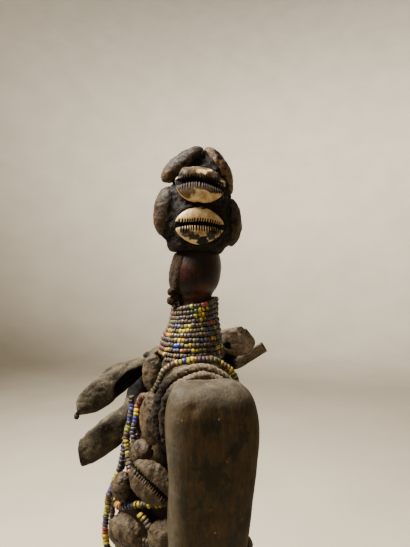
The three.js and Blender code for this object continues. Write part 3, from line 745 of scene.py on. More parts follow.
# The band along the slit at (1, 1) is painted shade under the upper lip
SMEARED_LIPS = Lips(
    1.45, -0.5, -0.05, 1.1, 2.9, 0.8,
    [
        (6.4, 3.8, 4.8, 3.2, 1), (1, 1, 9, 1.7, 1), (-6.4, 3, 4, 3.4, 1), (-6, -2, 3.8, 2.6, 1),
        (1, -2.2, 8.4, 2, 1), (0.5, 6.4, 7, 1.4, 0.9), (-6, -4.4, 4, 2.4, 0.9),
    ],
    [(0.4, 0.6, 8.6, 0.7, 0.6), (-7.6, 0.6, 1.8, 2.8, 0.5), (6.6, 2.6, 2, 1.8, 0.4), (3, 4.2, 2, 0.7, 0.35)],
)
CLEAN_LIPS = Lips(
    1.2, 0.1, 0, 1.2, 2.6, 0,
    [(-4.8, -3.6, 3, 1.2, 0.4), (0, -2.4, 9, 1.3, 0.3)],
    [
        (-4.6, -3.2, 3.4, 1.3, 0.46), (-2.6, -4.5, 1.9, 1.1, 0.6), (3.9, -3.2, 2.5, 1.4, 0.5),
        (5.9, -2.6, 2.6, 1.5, 0.42), (1, -6, 2, 1.4, 1), (3.6, -4, 2.2, 1.3, 0.55), (7.4, -0.3, 1.6, 1, 1),
        (0.8, 6.1, 1.2, 0.4, 0.6), (-6, -2.6, 1.3, 0.7, 0.9), (4.6, -2.4, 1.1, 0.6, 0.9),
        (-7.7, 0.1, 1.2, 0.6, 1),
    ],
)
FAR_LIPS = Lips(0.9, 0, 0, 1.2, 1.6, 0.3, [(3, 2, 4, 2, 0.6)], [(-3, -2.7, 3, 1.2, 0.8)])
HIDDEN_LIPS = Lips(0.6, 0, 0, 1, 1, 0.2, [], [])

# The cap's shells: node, centre, long axis, the side that the slit faces, width, length, lips and finish
CAP_SHELLS = [
    ("left_upper", (9.4, 0.8, 232.8), (0, 1, -0.06), (1, 0, 0.42), 15, 19, SMEARED_LIPS, CREAM_SHELL),
    ("left_lower", (10.6, 0.2, 217.6), (0, 1, -0.03), (1, 0, 0.02), 14, 19, CLEAN_LIPS, CREAM_SHELL),
    ("right_upper", (-9.4, 1.2, 232.4), (0, 1, 0.05), (-1, 0, 0.42), 14, 19, FAR_LIPS, CREAM_SHELL),
    ("right_lower", (-10.6, 1, 217.4), (0, 1, 0.04), (-1, 0, 0), 13.6, 19, FAR_LIPS, CREAM_SHELL),
    ("front", (0, -11.2, 224.2), (0, -0.16, -1), (0, 1, -0.1), 13.4, 19, HIDDEN_LIPS, DARK_SHELL),
    ("back", (0.3, 14.4, 220.4), (0, 0.06, -1), (0, -1, 0), 13.4, 19, HIDDEN_LIPS, DARK_SHELL),
    ("crown_front", (-0.5, -4.4, 242.2), (0.1, 1, 0.86), (0, 0.86, -1), 13, 20.5, HIDDEN_LIPS, DARK_SHELL),
    ("crown_back", (0, 9.6, 240.4), (0.1, 1, -1.75), (0, -1, -0.6), 13.4, 20.5, HIDDEN_LIPS, TAN_SHELL),
]
CAP_SHELL_HEIGHT = 8
CAP_MIDDLE_Y = 1.5
CAP_SCUFF = {"front": 0.6, "back": 1, "crown_front": 0.9, "crown_back": 0.3}


def make_cap_shells():
    for seed, (name, centre, along, out, width, length, lips, finish) in enumerate(CAP_SHELLS):
        clean = finish is CREAM_SHELL
        grid = FINE_GRID if clean else COARSE_GRID
        ends = POINTED_ENDS if lips is CLEAN_LIPS else BLUNT_ENDS
        points, faces, stain, dirt = cowrie(length, width, CAP_SHELL_HEIGHT, lips, seed, *grid, ends)
        points = placed(points, centre, along, out)
        if not clean:
            points = pushed(points, points - centre, layers(points, (2, 0.22, 81), (1, 0.18, 82)))
        from_axis = np.hypot(points[:, 0], points[:, 1] - CAP_MIDDLE_Y)
        scuff = ease(from_axis.max() - from_axis, 3, 0.6) * ease(grain(points, 3, 90 + seed), -0.4, 0.3)
        # The dirt value also carries the painted shade of the slit and between the teeth, and the stained
        # value a painted shade band on one lip
        make_piece(f"{name}_cap_shell", (points, faces), finish, "cowrie", f"cap_cowrie_{name}", stain=stain,
                   dirt=dirt, scuff=scuff * CAP_SCUFF.get(name, 0))


# The dark mass that holds the shells: height, half-width, half-depth and centre line (Y)
CAP = [
    (208.8, 9.6, 9.8, 0.5), (211, 11, 11.6, 0.9), (216, 11.5, 13.2, 1.4), (223, 11.2, 13, 1.4),
    (230, 10.4, 11.8, 2), (236, 8.6, 10, 2.6), (242, 6, 7.6, 3), (246.4, 3.4, 4.6, 3.2),
]
CAP_POWER = 2.2
CAP_SIDES = 160


def make_cap():
    rows = curve(CAP, 14)
    rim = [rows[0] * (1, 0.6, 0.6, 1), rows[0] * (1, 0.93, 0.93, 1)]
    rows = np.vstack([*rim, rows, rows[-1] * (1, 0.5, 0.5, 1)])
    rows[1:3, 0] += (-0.2, 0.2)
    points, faces = skin([oval((0, y, z), (a, 0, 0), (0, b, 0), CAP_POWER, CAP_SIDES) for z, a, b, y in rows])
    lift = layers(points, (3.4, 0.8, 7), (1.5, 0.5, 8), (0.8, 0.24, 9))
    for _, centre, along, out, width, length, *_ in CAP_SHELLS:
        local = (points - centre) @ shell_axes(along, out).T
        reach = np.linalg.norm(local / (length / 2, width / 2, CAP_SHELL_HEIGHT / 2), axis=1)
        lift += 1.1 * np.exp(-((reach - 1) / 0.16) ** 2)
    off_rim = ease(points[:, 2], 208.6, 214)
    outward = (points - (0, CAP_MIDDLE_Y, 222)) * (1, 1, 0.4)
    points = pushed(points, outward, (lift - 0.4) * (0.1 + 0.9 * off_rim))
    points[:, 2] -= ease(points[:, 1], 2, 12) * ease(points[:, 2], 213, 209) * 1.2
    make_piece("cap_resin", (points, faces), RESIN, "resin", "cap")


# The thong down the front of the head

THONG_DEGREES = (-6, 46)
THONG_THICKNESS = 0.6
THONG_SUNK = 0.3

# Each knot's centre and radius, and the seed of its lumps
THONG_KNOTS = [((3.2, -9.1, 193.4), 1.7, 13), ((2.9, -7.6, 191.4), 1.9, 14), ((3, -9, 189.9), 1.8, 15)]


def make_thong():
    across = np.linspace(0, 1, 36)
    turn = np.radians(np.interp(across * 0.94 + 0.03, (0, 1), THONG_DEGREES))
    rings = []
    for z in np.linspace(192.6, 208, 64):
        _, radius, y = row_at(HEAD, z)
        inner = radius - THONG_SUNK
        ends = min(1, (z - 192.4) / 0.8) * (1 - np.abs(2 * across - 1) ** 6)
        strings = 0.85 + 0.15 * np.abs(np.sin(across * 5 * math.pi + 0.6 * math.sin(z * 0.9)))
        outer = inner + (0.4 + THONG_THICKNESS * strings) * ends
        loop = [*zip(outer, turn), *((inner, a) for a in turn[::-1])]
        rings.append([(r * math.sin(a), y - r * math.cos(a), z) for r, a in loop])
    points, faces = skin(rings)
    rough = grain(points * (1, 1, 0.5), 1.3, 11) * 0.3 + grain(points, 0.6, 12) * 0.14
    points = pushed(points, points * (1, 1, 0), rough)
    shape = together([(points, faces), *(ball(*knot) for knot in THONG_KNOTS)])
    # Painted shade in the hollows between the thong's lumps
    crevice = ease(grain(points * (1, 1, 0.4), 1.3, 11), 0, -0.8) * 0.8
    make_piece("crusted_thong", shape, FIBRE, "fibre", "head_thong", crevice=padded(crevice, shape, 0))


def ball(centre, radius, seed):
    """A lumpy knot."""
    rings = []
    for polar in np.linspace(0.06, math.pi - 0.06, 20):
        rings.append(oval((0, 0, math.cos(polar)), (math.sin(polar), 0, 0), (0, math.sin(polar), 0), 2, 28))
    points, faces = skin(rings)
    lumps = 1 + 0.16 * grain(points * radius + seed, 0.9, seed)
    return points * lumps[:, None] * radius + centre, faces


# Beads

TINTS = {
    "brown": "3a2d20", "dirt": "4b4030", "dark": "17141a", "yellow": "c2a914", "amber": "b87a10",
    "orange": "b04812", "red": "8c1e16", "coral": "983f2c", "blue": "253488", "navy": "171d42",
    "purple": "3c2843", "green": "2c5234", "lime": "8c9826", "grey": "55565c", "bright": "2046a8",
    "olive": "57512a", "plum": "45303a", "rust": "693a24",
}


def bead():
    """A bead of radius 1 and length 2 along X, with its hole, and how crusted each of its points is."""
    angle = full_turn(9)
    along = signed_power(np.cos(angle), 0.8)
    outward = 0.66 + 0.34 * signed_power(np.sin(angle), 0.8)
    rings = [np.stack([along, outward * math.cos(a), outward * math.sin(a)], axis=1) for a in full_turn(14)]
    points, faces = skin(rings, joined=True)
    ends = ease(np.abs(points[:, 0]), 0.6, 1) * 0.8
    hole = ease(np.hypot(points[:, 1], points[:, 2]), 0.8, 0.55)
    return points, np.array(faces), np.maximum(ends, hole)


BEAD = bead()


def string_beads(line, radius, half_length, tints, chance, closed=False):
    """Beads along an evenly spaced line: one shape with its tint and crust at each point."""
    ahead, across, over = frames(line, closed)
    points, faces, tint, crust = [], [], [], []
    shape_points, shape_faces, shape_crust = BEAD
    for i, centre in enumerate(line):
        size = radius * chance.uniform(0.85, 1.05)
        lean = [chance.uniform(-0.13, 0.13) for _ in range(2)]
        x = unit(ahead[i] + lean[0] * across[i] + lean[1] * over[i])
        y = unit(np.cross(over[i], x))
        long = half_length * chance.uniform(0.88, 1.1)
        leaning = shape_points * (long, size, size) @ np.array((x, y, np.cross(x, y)))
        shift = across[i] * chance.uniform(-0.16, 0.16) + over[i] * chance.uniform(-0.12, 0.12)
        points.append(leaning + centre + shift)
        faces.append(shape_faces + i * len(shape_points))
        shade = chance.uniform(0.8, 1.2)
        rgb = [min(1, c * shade) for c in colour(TINTS[tints[i]])[:3]]
        tint.append(np.tile((*rgb, 1), (len(shape_points), 1)))
        dirty = chance.choice((0.5, 0.65, 0.8) if tints[i] in ("dirt", "brown") else (0, 0, 0.1, 0.3))
        crust.append(np.clip(shape_crust + dirty, 0, 1))
    return np.vstack(points), np.vstack(faces).tolist(), np.vstack(tint), np.concatenate(crust)


def plain_tint(shape, name, crust):
    points, faces = shape
    tint = np.tile(colour(TINTS[name]), (len(points), 1))
    return points, faces, tint, np.full(len(points), crust)


def make_beads(name, parts, slot, node):
    shape = together([(points, faces) for points, faces, _, _ in parts])
    tint = np.vstack([part[2] for part in parts])
    crust = np.concatenate([part[3] for part in parts])
    make_piece(name, shape, BEADS, slot, node, tint=tint, crust=crust)


# Coloured beads of the collar, turn by turn from the top: degrees from the doll's left side towards its back,
# and the tints in a row
COLLAR_GROUPS = [
    "-55 dark dark dark, 22 coral coral, 50 green grey",
    "-6 green green, 18 yellow yellow yellow, 45 green green grey",
    "14 yellow yellow yellow, 48 purple purple",
    "-2 grey blue, 16 yellow yellow, 40 blue purple purple",
    "-42 blue navy navy, -20 yellow lime, 42 orange orange, 66 green green",
    "-62 amber yellow, -24 yellow yellow yellow, 0 green, 34 blue navy navy",
    "-66 amber amber orange, -20 purple purple, 30 navy blue, 58 purple",
    "-32 amber yellow yellow, 6 blue navy, 36 amber yellow",
    "-40 blue bright, -18 yellow lime, 10 brown brown",
    "-84 red red, -58 yellow amber, -40 blue blue, -26 red amber, -4 lime yellow, 40 yellow lime, "
    "60 yellow",
    "-70 yellow, -20 green brown, 30 blue",
    "-30 lime, 20 brown red",
]
COLLAR_PITCH = (COLLAR_TOP_Z - COLLAR_BOTTOM_Z) / (COLLAR_TURNS - 1)
COLLAR_PITCH_ALONG = 1.36
COLLAR_BEAD_HALF_LENGTH = 0.76
CORE_DEPTH = 1.3


def on_collar(turns_down, degrees, outer_shift):
    """A place round the neck, so many turns below the collar's top."""
    z = COLLAR_TOP_Z - turns_down * COLLAR_PITCH
    _, outer, centre_y = row_at(NECK, z)
    reach = outer + outer_shift
    angle = math.radians(degrees)
    y = reach * math.sin(angle)
    return reach * math.cos(angle), centre_y + y, z + COLLAR_SLOPE * float(ease(z, 174, 188)) * y


def make_collar():
    chance = random.Random(5)
    above, start = 0.45, -70
    turns = np.arange(0, COLLAR_TURNS - 0.02, 1 / 72)
    route = [on_collar(turn - above, start - 360 * turn, -COLLAR_BEAD / 2) for turn in turns]
    line = spaced(np.array(route), COLLAR_PITCH_ALONG)
    tints = chance.choices(
        ("dirt", "brown", "olive", "plum", "rust", "dark", "purple", "grey", "navy", "lime", "amber", "red"),
        (32, 22, 12, 8, 5, 5, 5, 3, 3, 2, 2, 1), k=len(line))
    place_of = np.degrees(np.arctan2(line[:, 1], line[:, 0]))
    turn_of = np.round(np.linspace(0, turns[-1], len(line)) - above)
    for turn, groups in enumerate(COLLAR_GROUPS):
        for group in groups.split(", "):
            degrees, *names = group.split()
            off = np.abs((place_of - int(degrees) + 180) % 360 - 180) + 1000 * (turn_of != turn)
            first = int(np.argmin(off))
            tints[first:first + len(names)] = names
    beads = string_beads(line, COLLAR_BEAD / 2, COLLAR_BEAD_HALF_LENGTH, tints, chance)
    all_round = np.linspace(0, 360, 120, endpoint=False)
    heights = np.linspace(0, COLLAR_TURNS - 0.4, 130)
    points, faces = skin([[on_collar(h, degrees, -CORE_DEPTH) for degrees in all_round] for h in heights])
    points = pushed(points, points * (1, 1, 0), layers(points, (1.2, 0.25, 21), (2.6, 0.15, 22)))
    core = plain_tint((points, faces), "brown", 1)
    make_beads("beaded_collar", [beads, core], "collar_beads", "bead_collar")


def on_torso(degrees, z, lift):
    """A place on the torso: degrees round it from the front towards its left side, height and lift."""
    _, half_width, front, back = row_at(TORSO, z)
    angle = math.radians(degrees)
    depth = front if math.cos(angle) > 0 else back
    out = unit((math.sin(angle) / half_width, -math.cos(angle) / depth, 0))
    return np.array((half_width * math.sin(angle), -depth * math.cos(angle), z)) + out * lift


def torso_route(rows):
    return [on_torso(*row) for row in rows]


SHORT_NECKLACE = [
    (1, 153.5, 8.6), (2, 150.8, 7.6), (2, 145.2, 6.5), (3, 138.5, 5.1), (9, 133.2, 2.8),
    (21, 128.2, ON_WOOD), (34, 124.6, ON_WOOD), (38, 123.4, ON_WOOD),
]
LONG_NECKLACE = [
    (-6, 142.5, 6.2), (-5.5, 138, 5.4), (-2, 133.5, 4.4), (2, 129, 3.8), (3, 124, 4), (3, 119, ON_STRAND),
    (3, 113, ON_STRAND), (3, 107, ON_STRAND), (4, 101.5, ON_STRAND), (6, 96.5, 3.4), (6, 91, ON_WOOD),
    (0, 86.5, ON_WOOD), (-8, 87, ON_WOOD), (-14, 92, ON_WOOD), (-17, 98, 3.8), (-19, 103, ON_STRAND),
    (-20, 109, ON_STRAND), (-21, 116, ON_STRAND), (-24, 122, ON_STRAND), (-28, 129, 2.6), (-30, 136, ON_WOOD),
]
UPPER_WAIST = (115, 121.2, 117)
LOWER_WAIST = (104.4, 108.2, 98)
LEFT_HIP_STRAND = [(43, 116.4, ON_WOOD), (50, 113.6, ON_WOOD), (54, 110.8, ON_WOOD)]
RIGHT_HIP_STRAND = [(-52, 116.6, ON_WOOD), (-58, 113.8, ON_WOOD), (-64, 111, ON_WOOD)]
SHOULDER_STRAND = [
    *torso_route([(148, 121, ON_WOOD), (147, 131, ON_WOOD), (144, 142, ON_WOOD), (138, 152, ON_WOOD + 1)]),
    (16.4, 12.3, 161.5), (17.2, 9.8, 166), (17.4, 7.3, 168), (17.4, 4.2, 169.8), (17.4, -1, 170.2),
    (17.2, -8, 169.6), (16, -13.4, 166.6), (14.8, -15.6, 161.4), (11.4, -18, 157.2), (7, -20.2, 155.8),
    *torso_route([(10, 152.2, 6.1), (11, 148.6, 5.6), (14, 143.2, 5.4), (20, 138.5, 4.2)]),
    *torso_route([(31, 134, ON_WOOD + 0.6), (42, 128, ON_WOOD), (49, 123.6, ON_WOOD)]),
]


def waist_route(front, side, back):
    route = []
    for degrees in range(0, 360, 15):
        turn = math.cos(math.radians(degrees))
        dip = (front - side) * turn ** 5 if turn > 0 else (back - side) * turn ** 2
        route.append(on_torso(degrees, side + dip, ON_WOOD))
    return route


# The strands: node, route, whether it is closed, and its beads' tints in order
STRANDS = [
    ("shoulder_beads", SHOULDER_STRAND, False,
     "brown dirt yellow brown dirt dirt purple blue dirt yellow dirt brown purple dirt navy dirt brown "
     "brown lime yellow yellow lime yellow amber yellow dirt olive dirt purple rust yellow blue yellow "
     "rust plum olive dirt brown dirt olive brown dirt coral brown dirt red orange yellow blue blue navy "
     "purple dirt olive brown rust dirt yellow dirt blue"),
    ("short_necklace", torso_route(SHORT_NECKLACE), False,
     "dark blue bright blue purple lime dirt yellow yellow yellow brown dirt plum coral rust brown dirt "
     "brown dirt"),
    ("long_necklace", torso_route(LONG_NECKLACE), False,
     "navy dark plum navy navy navy dark navy yellow lime brown blue plum olive yellow lime purple blue "
     "coral yellow yellow navy purple yellow amber brown dark purple dirt purple yellow lime navy blue "
     "lime bright bright blue"),
    ("upper_waist_beads", waist_route(*UPPER_WAIST), True,
     "yellow amber amber coral navy blue blue yellow brown yellow brown yellow blue yellow dirt purple "
     "dirt yellow"),
    ("lower_waist_beads", waist_route(*LOWER_WAIST), True,
     "blue orange amber yellow yellow dirt brown blue navy dirt yellow yellow dirt purple red brown"),
    ("left_hip_beads", torso_route(LEFT_HIP_STRAND), False,
     "yellow grey dirt yellow yellow blue blue"),
    ("right_hip_beads", torso_route(RIGHT_HIP_STRAND), False,
     "yellow blue dirt brown yellow yellow"),
]
STRAND_PITCH = 1.34
STRAND_BEAD_HALF_LENGTH = 0.7
THREAD_RADIUS = 0.5
TINT_STEP = 2.05


def make_strands():
    for seed, (name, route, closed, tints) in enumerate(STRANDS):
        chance = random.Random(30 + seed)
        line = curve(route, 24, closed)
        centres = spaced(line, STRAND_PITCH, closed)
        names = tints.split()
        row = [names[int(i * STRAND_PITCH / TINT_STEP) % len(names)] for i in range(len(centres))]
        row = [chance.choice((name,) * 5 + ("dirt",)) for name in row]
        beads = string_beads(centres, BEAD_RADIUS, STRAND_BEAD_HALF_LENGTH, row, chance, closed)
        thread = spaced(line, 1, closed)
        _, across, over = frames(thread, closed)
        around = zip(thread, across * THREAD_RADIUS, over * THREAD_RADIUS)
        core = plain_tint(skin([oval(*where, 2, 8) for where in around], closed), "brown", 1)
        make_beads(f"{name}_strung", [beads, core], "strand_beads", name)


# Twisted cords round the root of each arm

CORD_PLANES = {"inner": 21, "outer": 24.6}
CORD_TWIST = 4.6
CORD_STEP = 0.36


def make_cords():
    for (name, x), (label, side) in itertools.product(CORD_PLANES.items(), (("left", 1), ("right", -1))):
        route = shoulder_ring(side, *row_at(SHOULDER, x), CORD_RADIUS + GAP + 0.25, 16)
        line = spaced(curve(route, 24, True), CORD_STEP, True)
        _, across, over = frames(line, True, hint=np.array((1.0, 0, 0)))
        turns = round(len(line) * CORD_STEP / CORD_TWIST)
        angle = full_turn(28)
        rings, groove_shade = [], []
        for i, centre in enumerate(line):
            twist = 2 * math.pi * turns * i / len(line)
            lobe = np.abs(np.cos(1.5 * (angle - twist)))
            thickened = float(ease(centre[1], -7, -13))
            reach = CORD_RADIUS * (0.84 + 0.18 * lobe ** 0.7 + 0.5 * thickened)
            sideways = np.outer(reach * np.cos(angle), across[i])
            rings.append(centre + sideways + np.outer(reach * np.sin(angle), over[i]))
            # Painted shade between the twisted plies
            groove_shade.append(ease(lobe, 0.5, 0.05) * 0.6)
        points, faces = skin(rings, True)
        middle = np.repeat(line, len(angle), axis=0)
        crusted = ease(middle[:, 1], -7, -13)
        fuzz = grain(points, 0.8, 41) * (0.26 + 0.2 * crusted)
        fuzz += grain(points, 2.2, 42) * (0.2 + 0.3 * crusted)
        points = pushed(points, points - middle, fuzz)
        # Painted shade between the plies, and dark crust on the cords' front part
        make_piece(f"{label}_{name}_twisted_cord", (points, faces), CORD, "cord", f"{label}_cord_{name}",
                   crevice=np.maximum(np.concatenate(groove_shade), crusted * 0.95))


# The torso's shells: degrees, height, lift of the shell's middle, turn about the vertical from the
# torso's own facing, tilt of the long axis from the vertical, length, width and whether the slit faces out
TORSO_SHELLS = [
    ("left_shoulder", 29, 165.2, 6.4, -14, 6, 14, 10, False),
    ("left_chest", 40.5, 150.3, 6.6, -22, 4, 18.2, 11.4, False),
    ("left_side", 53, 130.6, 8, 4, 128, 18, 12.6, True),
    ("left_rib", 35, 138.4, 5.2, 0, 62, 10.5, 7.6, False),
    ("front_belly", 20, 124.4, 3.6, 0, 24, 11, 7.6, False),
    ("left_belly", 38, 112.8, 7, 0, 98, 13.5, 10.6, False),
    ("left_hip", 66, 113.8, 7.2, 0, 72, 12.6, 11, False),
    ("right_rib", -44, 141, 6.4, 10, -30, 16, 11, True),
    ("right_side", -52, 127, 6, 0, -64, 17, 12, False),
    ("right_belly", -42, 109.4, 7.6, 0, 88, 16.5, 11.6, False),
    ("front_low", 16, 88, 5.4, 0, 84, 16, 11, False),
    ("back_upper", 176, 142, 3.4, 0, 4, 18, 12.6, False),
    ("back_left", 154, 87, 6, 0, 92, 17, 12, True),
    ("back_right", 206, 87, 6, 0, 88, 17, 12, False),
]
SHELL_HEIGHT = 7
RUSTY = ("left_shoulder", "left_chest")
WORN_LIPS = Lips(0.55, 0.6, 0, 0.8, 1.2, 0.2, [], [(2, -2.5, 3, 1, 0.4)])


def turned(vector, axis, degrees):
    """A vector turned about an axis."""
    angle = math.radians(degrees)
    vector, axis = np.asarray(vector, float), unit(axis)
    return (vector * math.cos(angle) + np.cross(axis, vector) * math.sin(angle)
            + axis * (axis @ vector) * (1 - math.cos(angle)))


def make_torso_shells():
    for seed, (name, degrees, z, lift, turn, tilt, length, width, slit_out) in enumerate(TORSO_SHELLS):
        centre = on_torso(degrees, z, lift)
        out = turned(unit(centre - on_torso(degrees, z, 0)), UP, turn)
        along = turned(UP, out, -tilt)
        points, faces, stain, dirt = cowrie(length, width, SHELL_HEIGHT, WORN_LIPS, 60 + seed, *PLAIN_GRID)
        points = placed(points, centre, along, out if slit_out else -out)
        crust = layers(points, (2.4, 0.3, 51), (1, 0.22, 52), (0.6, 0.1, 53))
        points = pushed(points, points - centre, crust)
        rust = ease(points[:, 1], centre[1] - 2.6, centre[1] - 4.4) * (name in RUSTY)
        # The dirt value also carries the painted shade of the slit and between the teeth, here weaker
        make_piece(f"{name}_worn_shell", (points, faces), WORN_SHELL, "worn_cowrie", f"cowrie_{name}",
                   stain=stain, dirt=dirt * 0.6, scuff=rust)


# Leather straps over the right shoulder. Each station: place, width, how far the strip is folded
# lengthwise (radians of half the arc) and the way its outer face looks.
UPPER_STRAP = [
    ((-5.2, -42.6, 148.3), 7, 0.8, (1, 0.2, 0)), ((-5, -39.6, 150.4), 11, 0.85, (1, 0.2, 0)),
    ((-4.6, -35.6, 153.6), 12.4, 0.95, (1, 0.1, 0.1)), ((-4.8, -30.2, 158.6), 13.4, 1, (0.95, 0, 0.3)),
    ((-6.6, -24.4, 163.4), 12.2, 1, (0.8, -0.2, 0.6)), ((-12.2, -18.8, 166.4), 8, 0.7, (0.1, -0.5, 0.86)),
    ((-16, -13.4, 168), 6.4, 0.4, (0, -0.5, 0.86)), ((-16.6, -6, 171), 6, 0.25, (0, 0, 1)),
    ((-16.6, 4, 171.8), 6, 0.25, (0, 0, 1)), ((-13.6, 11, 170.6), 8, 0.3, (0.95, 0.1, 0.3)),
    ((-9.6, 16, 171.8), 10.6, 0.3, (1, 0, 0.1)), ((-8, 21.2, 171.9), 12.4, 0.3, (1, 0, 0.1)),
    ((-7.7, 24.2, 173.5), 10.6, 0.2, (1, 0, 0)), ((-7.6, 25.7, 174.6), 6, 0.2, (1, 0, 0)),
]
LOWER_STRAP = [
    ((-6, -42.6, 130.5), 11.4, 0.9, (1, 0.2, 0)), ((-5.6, -38.6, 132.3), 13.8, 1, (1, 0.2, 0)),
    ((-5.6, -33.8, 136), 13.8, 1, (1, 0.1, 0.1)), ((-6.4, -28.9, 140.9), 14, 1, (0.9, -0.1, 0.3)),
    ((-9, -24.4, 146.2), 12.6, 0.8, (0.7, -0.6, 0.3)), ((-12.4, -20.8, 154.4), 9.4, 0.4, (0.7, -0.7, 0.2)),
    ((-15.8, -15.6, 163.6), 6, 0.3, (-0.2, -0.8, 0.5)), ((-16.3, -10, 168.2), 5.6, 0.15, (0, -0.5, 0.86)),
    ((-16.3, -3, 169.4), 5.6, 0.15, (0, 0, 1)), ((-16.3, 4, 169.4), 5.6, 0.15, (0, 0, 1)),
    ((-15.6, 10.6, 167), 8, 0.2, (0.3, 0.5, 0.8)), ((-13.6, 14.6, 165), 11, 0.2, (0.9, 0.3, 0.3)),
    ((-12.4, 18.2, 163.6), 10.6, 0.2, (1, 0, 0.2)), ((-11.4, 21.8, 162.5), 5, 0.15, (1, 0, 0.2)),
    ((-11, 33, 168.7), 4.6, 0.1, (1, 0, 0.2)),
]
FLAP_PIT = (-8.5, 16, 169.9)

# How far a strap's front end lies behind its first station, from its lower edge (-1) to its upper one (1)
STRAP_ENDS = {
    "upper_strap": [(-1, 0), (1, 0)],
    "lower_strap": [(-1, -1.7), (-0.5, -1.6), (0, -0.9), (0.5, 0), (1, 1.4)],
}


def strap(stations, end, seed):
    """A folded strip of leather: its points and faces, and painted shade on the fold's concave face."""
    table = np.array([(*at, width, fold, *out) for at, width, fold, out in stations])
    rows = curve(table, 11)
    line = rows[:, :3]
    ahead = unit_rows(np.gradient(line, axis=0))
    gone = lengths(line)
    outer = np.linspace(-1, 1, 48)
    half = LEATHER_THICKNESS / 2 * (0.55 + 0.45 * (1 - np.abs(outer) ** 8))
    cut_back = np.interp(outer, *zip(*end))
    rings, painted_shade, faced = [], [], []
    for i, (centre, width, fold, out) in enumerate(zip(line, rows[:, 3], rows[:, 4], rows[:, 5:])):
        across = unit(np.cross(out, ahead[i]))
        up = unit(np.cross(ahead[i], across))
        radius = width / 2 / fold
        ragged = 1 + 0.07 * grain(np.array([line[i], line[i] + 50]), 3.2, seed)
        bend = outer * np.where(outer < 0, ragged[0], ragged[1]) * fold
        start = centre + np.outer(cut_back * ease(gone[i], 7, 0), ahead[i]) - up * radius
        arc = np.outer(np.sin(bend), across) + np.outer(np.cos(bend), up)
        outside = start + arc * (radius + half)[:, None]
        inner = start + arc * (radius - half)[:, None]
        rings.append(np.vstack([outside, inner[::-1]]))
        # Painted shade on the concave face, deeper where the fold is tight
        deep = 0.5 if fold > 0.5 else 0.15
        painted_shade.append(np.repeat((0, deep), len(outer)))
        faced.append(np.tile(up, (len(outer) * 2, 1)))
    points, faces = skin(rings)
    wrinkles = layers(points, (4.2, 0.45, seed + 1), (1.5, 0.22, seed + 2))
    creases = np.abs(grain(points * (1, 0.5, 1), 2.2, seed + 3)) ** 0.7 * 0.5
    points = points + np.vstack(faced) * (wrinkles + creases - 0.25)[:, None]
    return points, faces, np.concatenate(painted_shade)


# The upper strap's hollow under its fold: its upper edge as Y and Z
HOLLOW_EDGE = [(-31, 156), (-30.1, 157.5), (-27, 160.9), (-25.1, 162.4), (-19.6, 163.6), (-15, 164)]


def shape_upper_strap(points):
    """Draws out the tip's lower corner, hollows the fold and presses a pit, and says how shaded they are."""
    below = np.clip(149.2 - points[:, 2], 0, 4)
    points[:, 1] -= below * ease(points[:, 1], -37, -41) * 1.4
    edge = np.interp(points[:, 1], *zip(*HOLLOW_EDGE))
    hollow = ease(edge - points[:, 2], 0, 0.7) * ease(points[:, 1], -31, -29.6)
    hollow *= ease(points[:, 1], -14, -17)
    pit = ease(np.linalg.norm(points - FLAP_PIT, axis=1), 1.9, 1.2)
    points[:, 0] -= hollow * 2.2 + pit * 0.5
    return points, np.maximum(hollow, pit)


def make_straps():
    for seed, (name, stations) in enumerate((("upper_strap", UPPER_STRAP), ("lower_strap", LOWER_STRAP))):
        points, faces, painted_shade = strap(stations, STRAP_ENDS[name], 70 + 10 * seed)
        parts = []
        if name == "upper_strap":
            points, shade = shape_upper_strap(points)
            parts = [ball((-5.2, -44.3, 145.9), 1, 77), ball((-10, -17.4, 166.9), 1.7, 78)]
        else:
            # Painted shade under the flap and behind the beads
            shade_under_flap = ease(points[:, 1], 21.5, 19) * ease(points[:, 1], 8, 12)
            shade_behind_beads = ease(points[:, 2], 149, 152) * ease(points[:, 1], -10, -14)
            shade = np.maximum(shade_under_flap, shade_behind_beads)
        shape = together([(points, faces), *parts])
        blush = ease(shape[0][:, 1], 9, 16) * 0.9
        piece = new_object(f"{name}_leather", shape)
        _, normals = points_of(piece)
        shade = padded(shade, shape, 0) * ease(normals[:, 0], -0.2, 0.2)
        # The knots are darkened by 0.6 throughout
        painted_shade = np.maximum(padded(painted_shade, shape, 0.6), shade)
        # Painted shade on faces turned downwards
        painted_shade = np.maximum(painted_shade, ease(-normals[:, 2], 0, 0.6) * 0.5)
        give_values(piece, {"painted_shade": painted_shade, "blush": blush})
        settle(piece, LEATHER, "leather", name)


# The stage: a pale floor that curves up into a pale wall, outside every camera

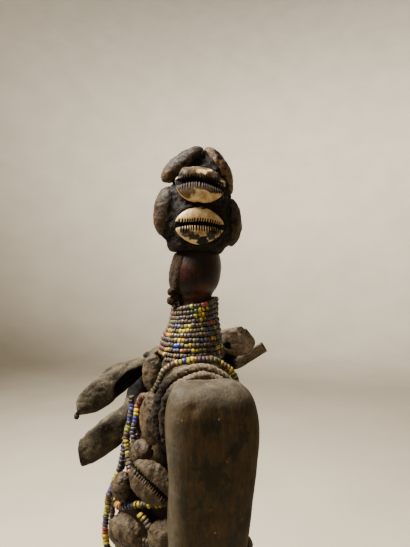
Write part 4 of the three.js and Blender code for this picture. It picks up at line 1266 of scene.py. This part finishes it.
def make_stage():
    floor_reach, bend, slope, wall_reach = 800, 500, math.radians(62), 2000
    profile = [(floor_reach * share, 0) for share in np.linspace(0.001, 1, 12)]
    turn = np.linspace(0, slope, 14)[1:]
    profile += [(floor_reach + bend * math.sin(a), bend * (1 - math.cos(a))) for a in turn]
    foot_r, foot_z = profile[-1]
    climb = np.linspace(0, wall_reach, 6)[1:]
    profile += [(foot_r + d * math.cos(slope), foot_z + d * math.sin(slope)) for d in climb]
    rings = np.array([oval((0, 0, z - 0.05), (r, 0, 0), (0, r, 0), 2, 96) for r, z in profile])
    points = rings.reshape(-1, 3)
    bowl = new_object("stage_bowl", (points, grid_faces(len(rings), 96).tolist()))
    f = Finish("canvas", Specular_IOR_Level=0.1)
    base = f.ramp(f.noise(90, detail=4), (0.35, "b5ab98"), (0.65, "bcb29f"))
    bowl.data.materials.append(f.finish(base, f.spread(f.noise(20), 0, 1, 0.85, 0.95)))


# Camera: at the photograph's angle, close to the doll's left side and a little in front of it
AZIMUTH = math.radians(78)
CAMERA_DISTANCE = 160
CAMERA_SHIFT = 4.3
CAMERA_HEIGHT = 200.2
LENS = 27.05


def in_frame(x, y, z):
    return Vector(np.array((x, y, z)) * MM + AXIS)


def make_camera():
    toward = Vector((math.sin(AZIMUTH), -math.cos(AZIMUTH), 0))
    right = Vector((math.cos(AZIMUTH), math.sin(AZIMUTH), 0))
    spot = toward * CAMERA_DISTANCE + right * CAMERA_SHIFT
    data = bpy.data.cameras.new("camera")
    with_settings(data, lens=LENS, sensor_width=36, clip_start=0.005, clip_end=10)
    camera = add("camera", data)
    camera.location = in_frame(spot.x, spot.y, CAMERA_HEIGHT)
    camera.rotation_euler = (math.radians(90), 0, AZIMUTH)
    bpy.context.scene.camera = camera


def make_light(name, spot, aim, size, spread, watts, tone):
    data = bpy.data.lights.new(name, "AREA")
    with_settings(data, shape="DISK", size=size, spread=math.radians(spread), energy=watts, color=tone)
    light = add(name, data)
    light.location = in_frame(*spot)
    light.rotation_euler = (in_frame(*aim) - light.location).to_track_quat("-Z", "Y").to_euler()


def make_studio():
    make_light("key", (-60, -330, 700), (0, 0, 150), 0.3, 110, 8.5, (1, 0.95, 0.86))
    make_light("wall", (-300, 150, 900), (-1500, 800, 1100), 0.8, 160, 34, (1, 0.97, 0.92))
    world = bpy.data.worlds.new("studio")
    world.use_nodes = True
    background = world.node_tree.nodes["Background"]
    background.inputs["Color"].default_value = (0.8, 0.78, 0.74, 1)
    background.inputs["Strength"].default_value = 0.55
    bpy.context.scene.world = world


make_camera()
make_studio()
make_stage()
make_figure()
make_cap()
make_cap_shells()
make_thong()
make_collar()
make_cords()
make_strands()
make_torso_shells()
make_straps()
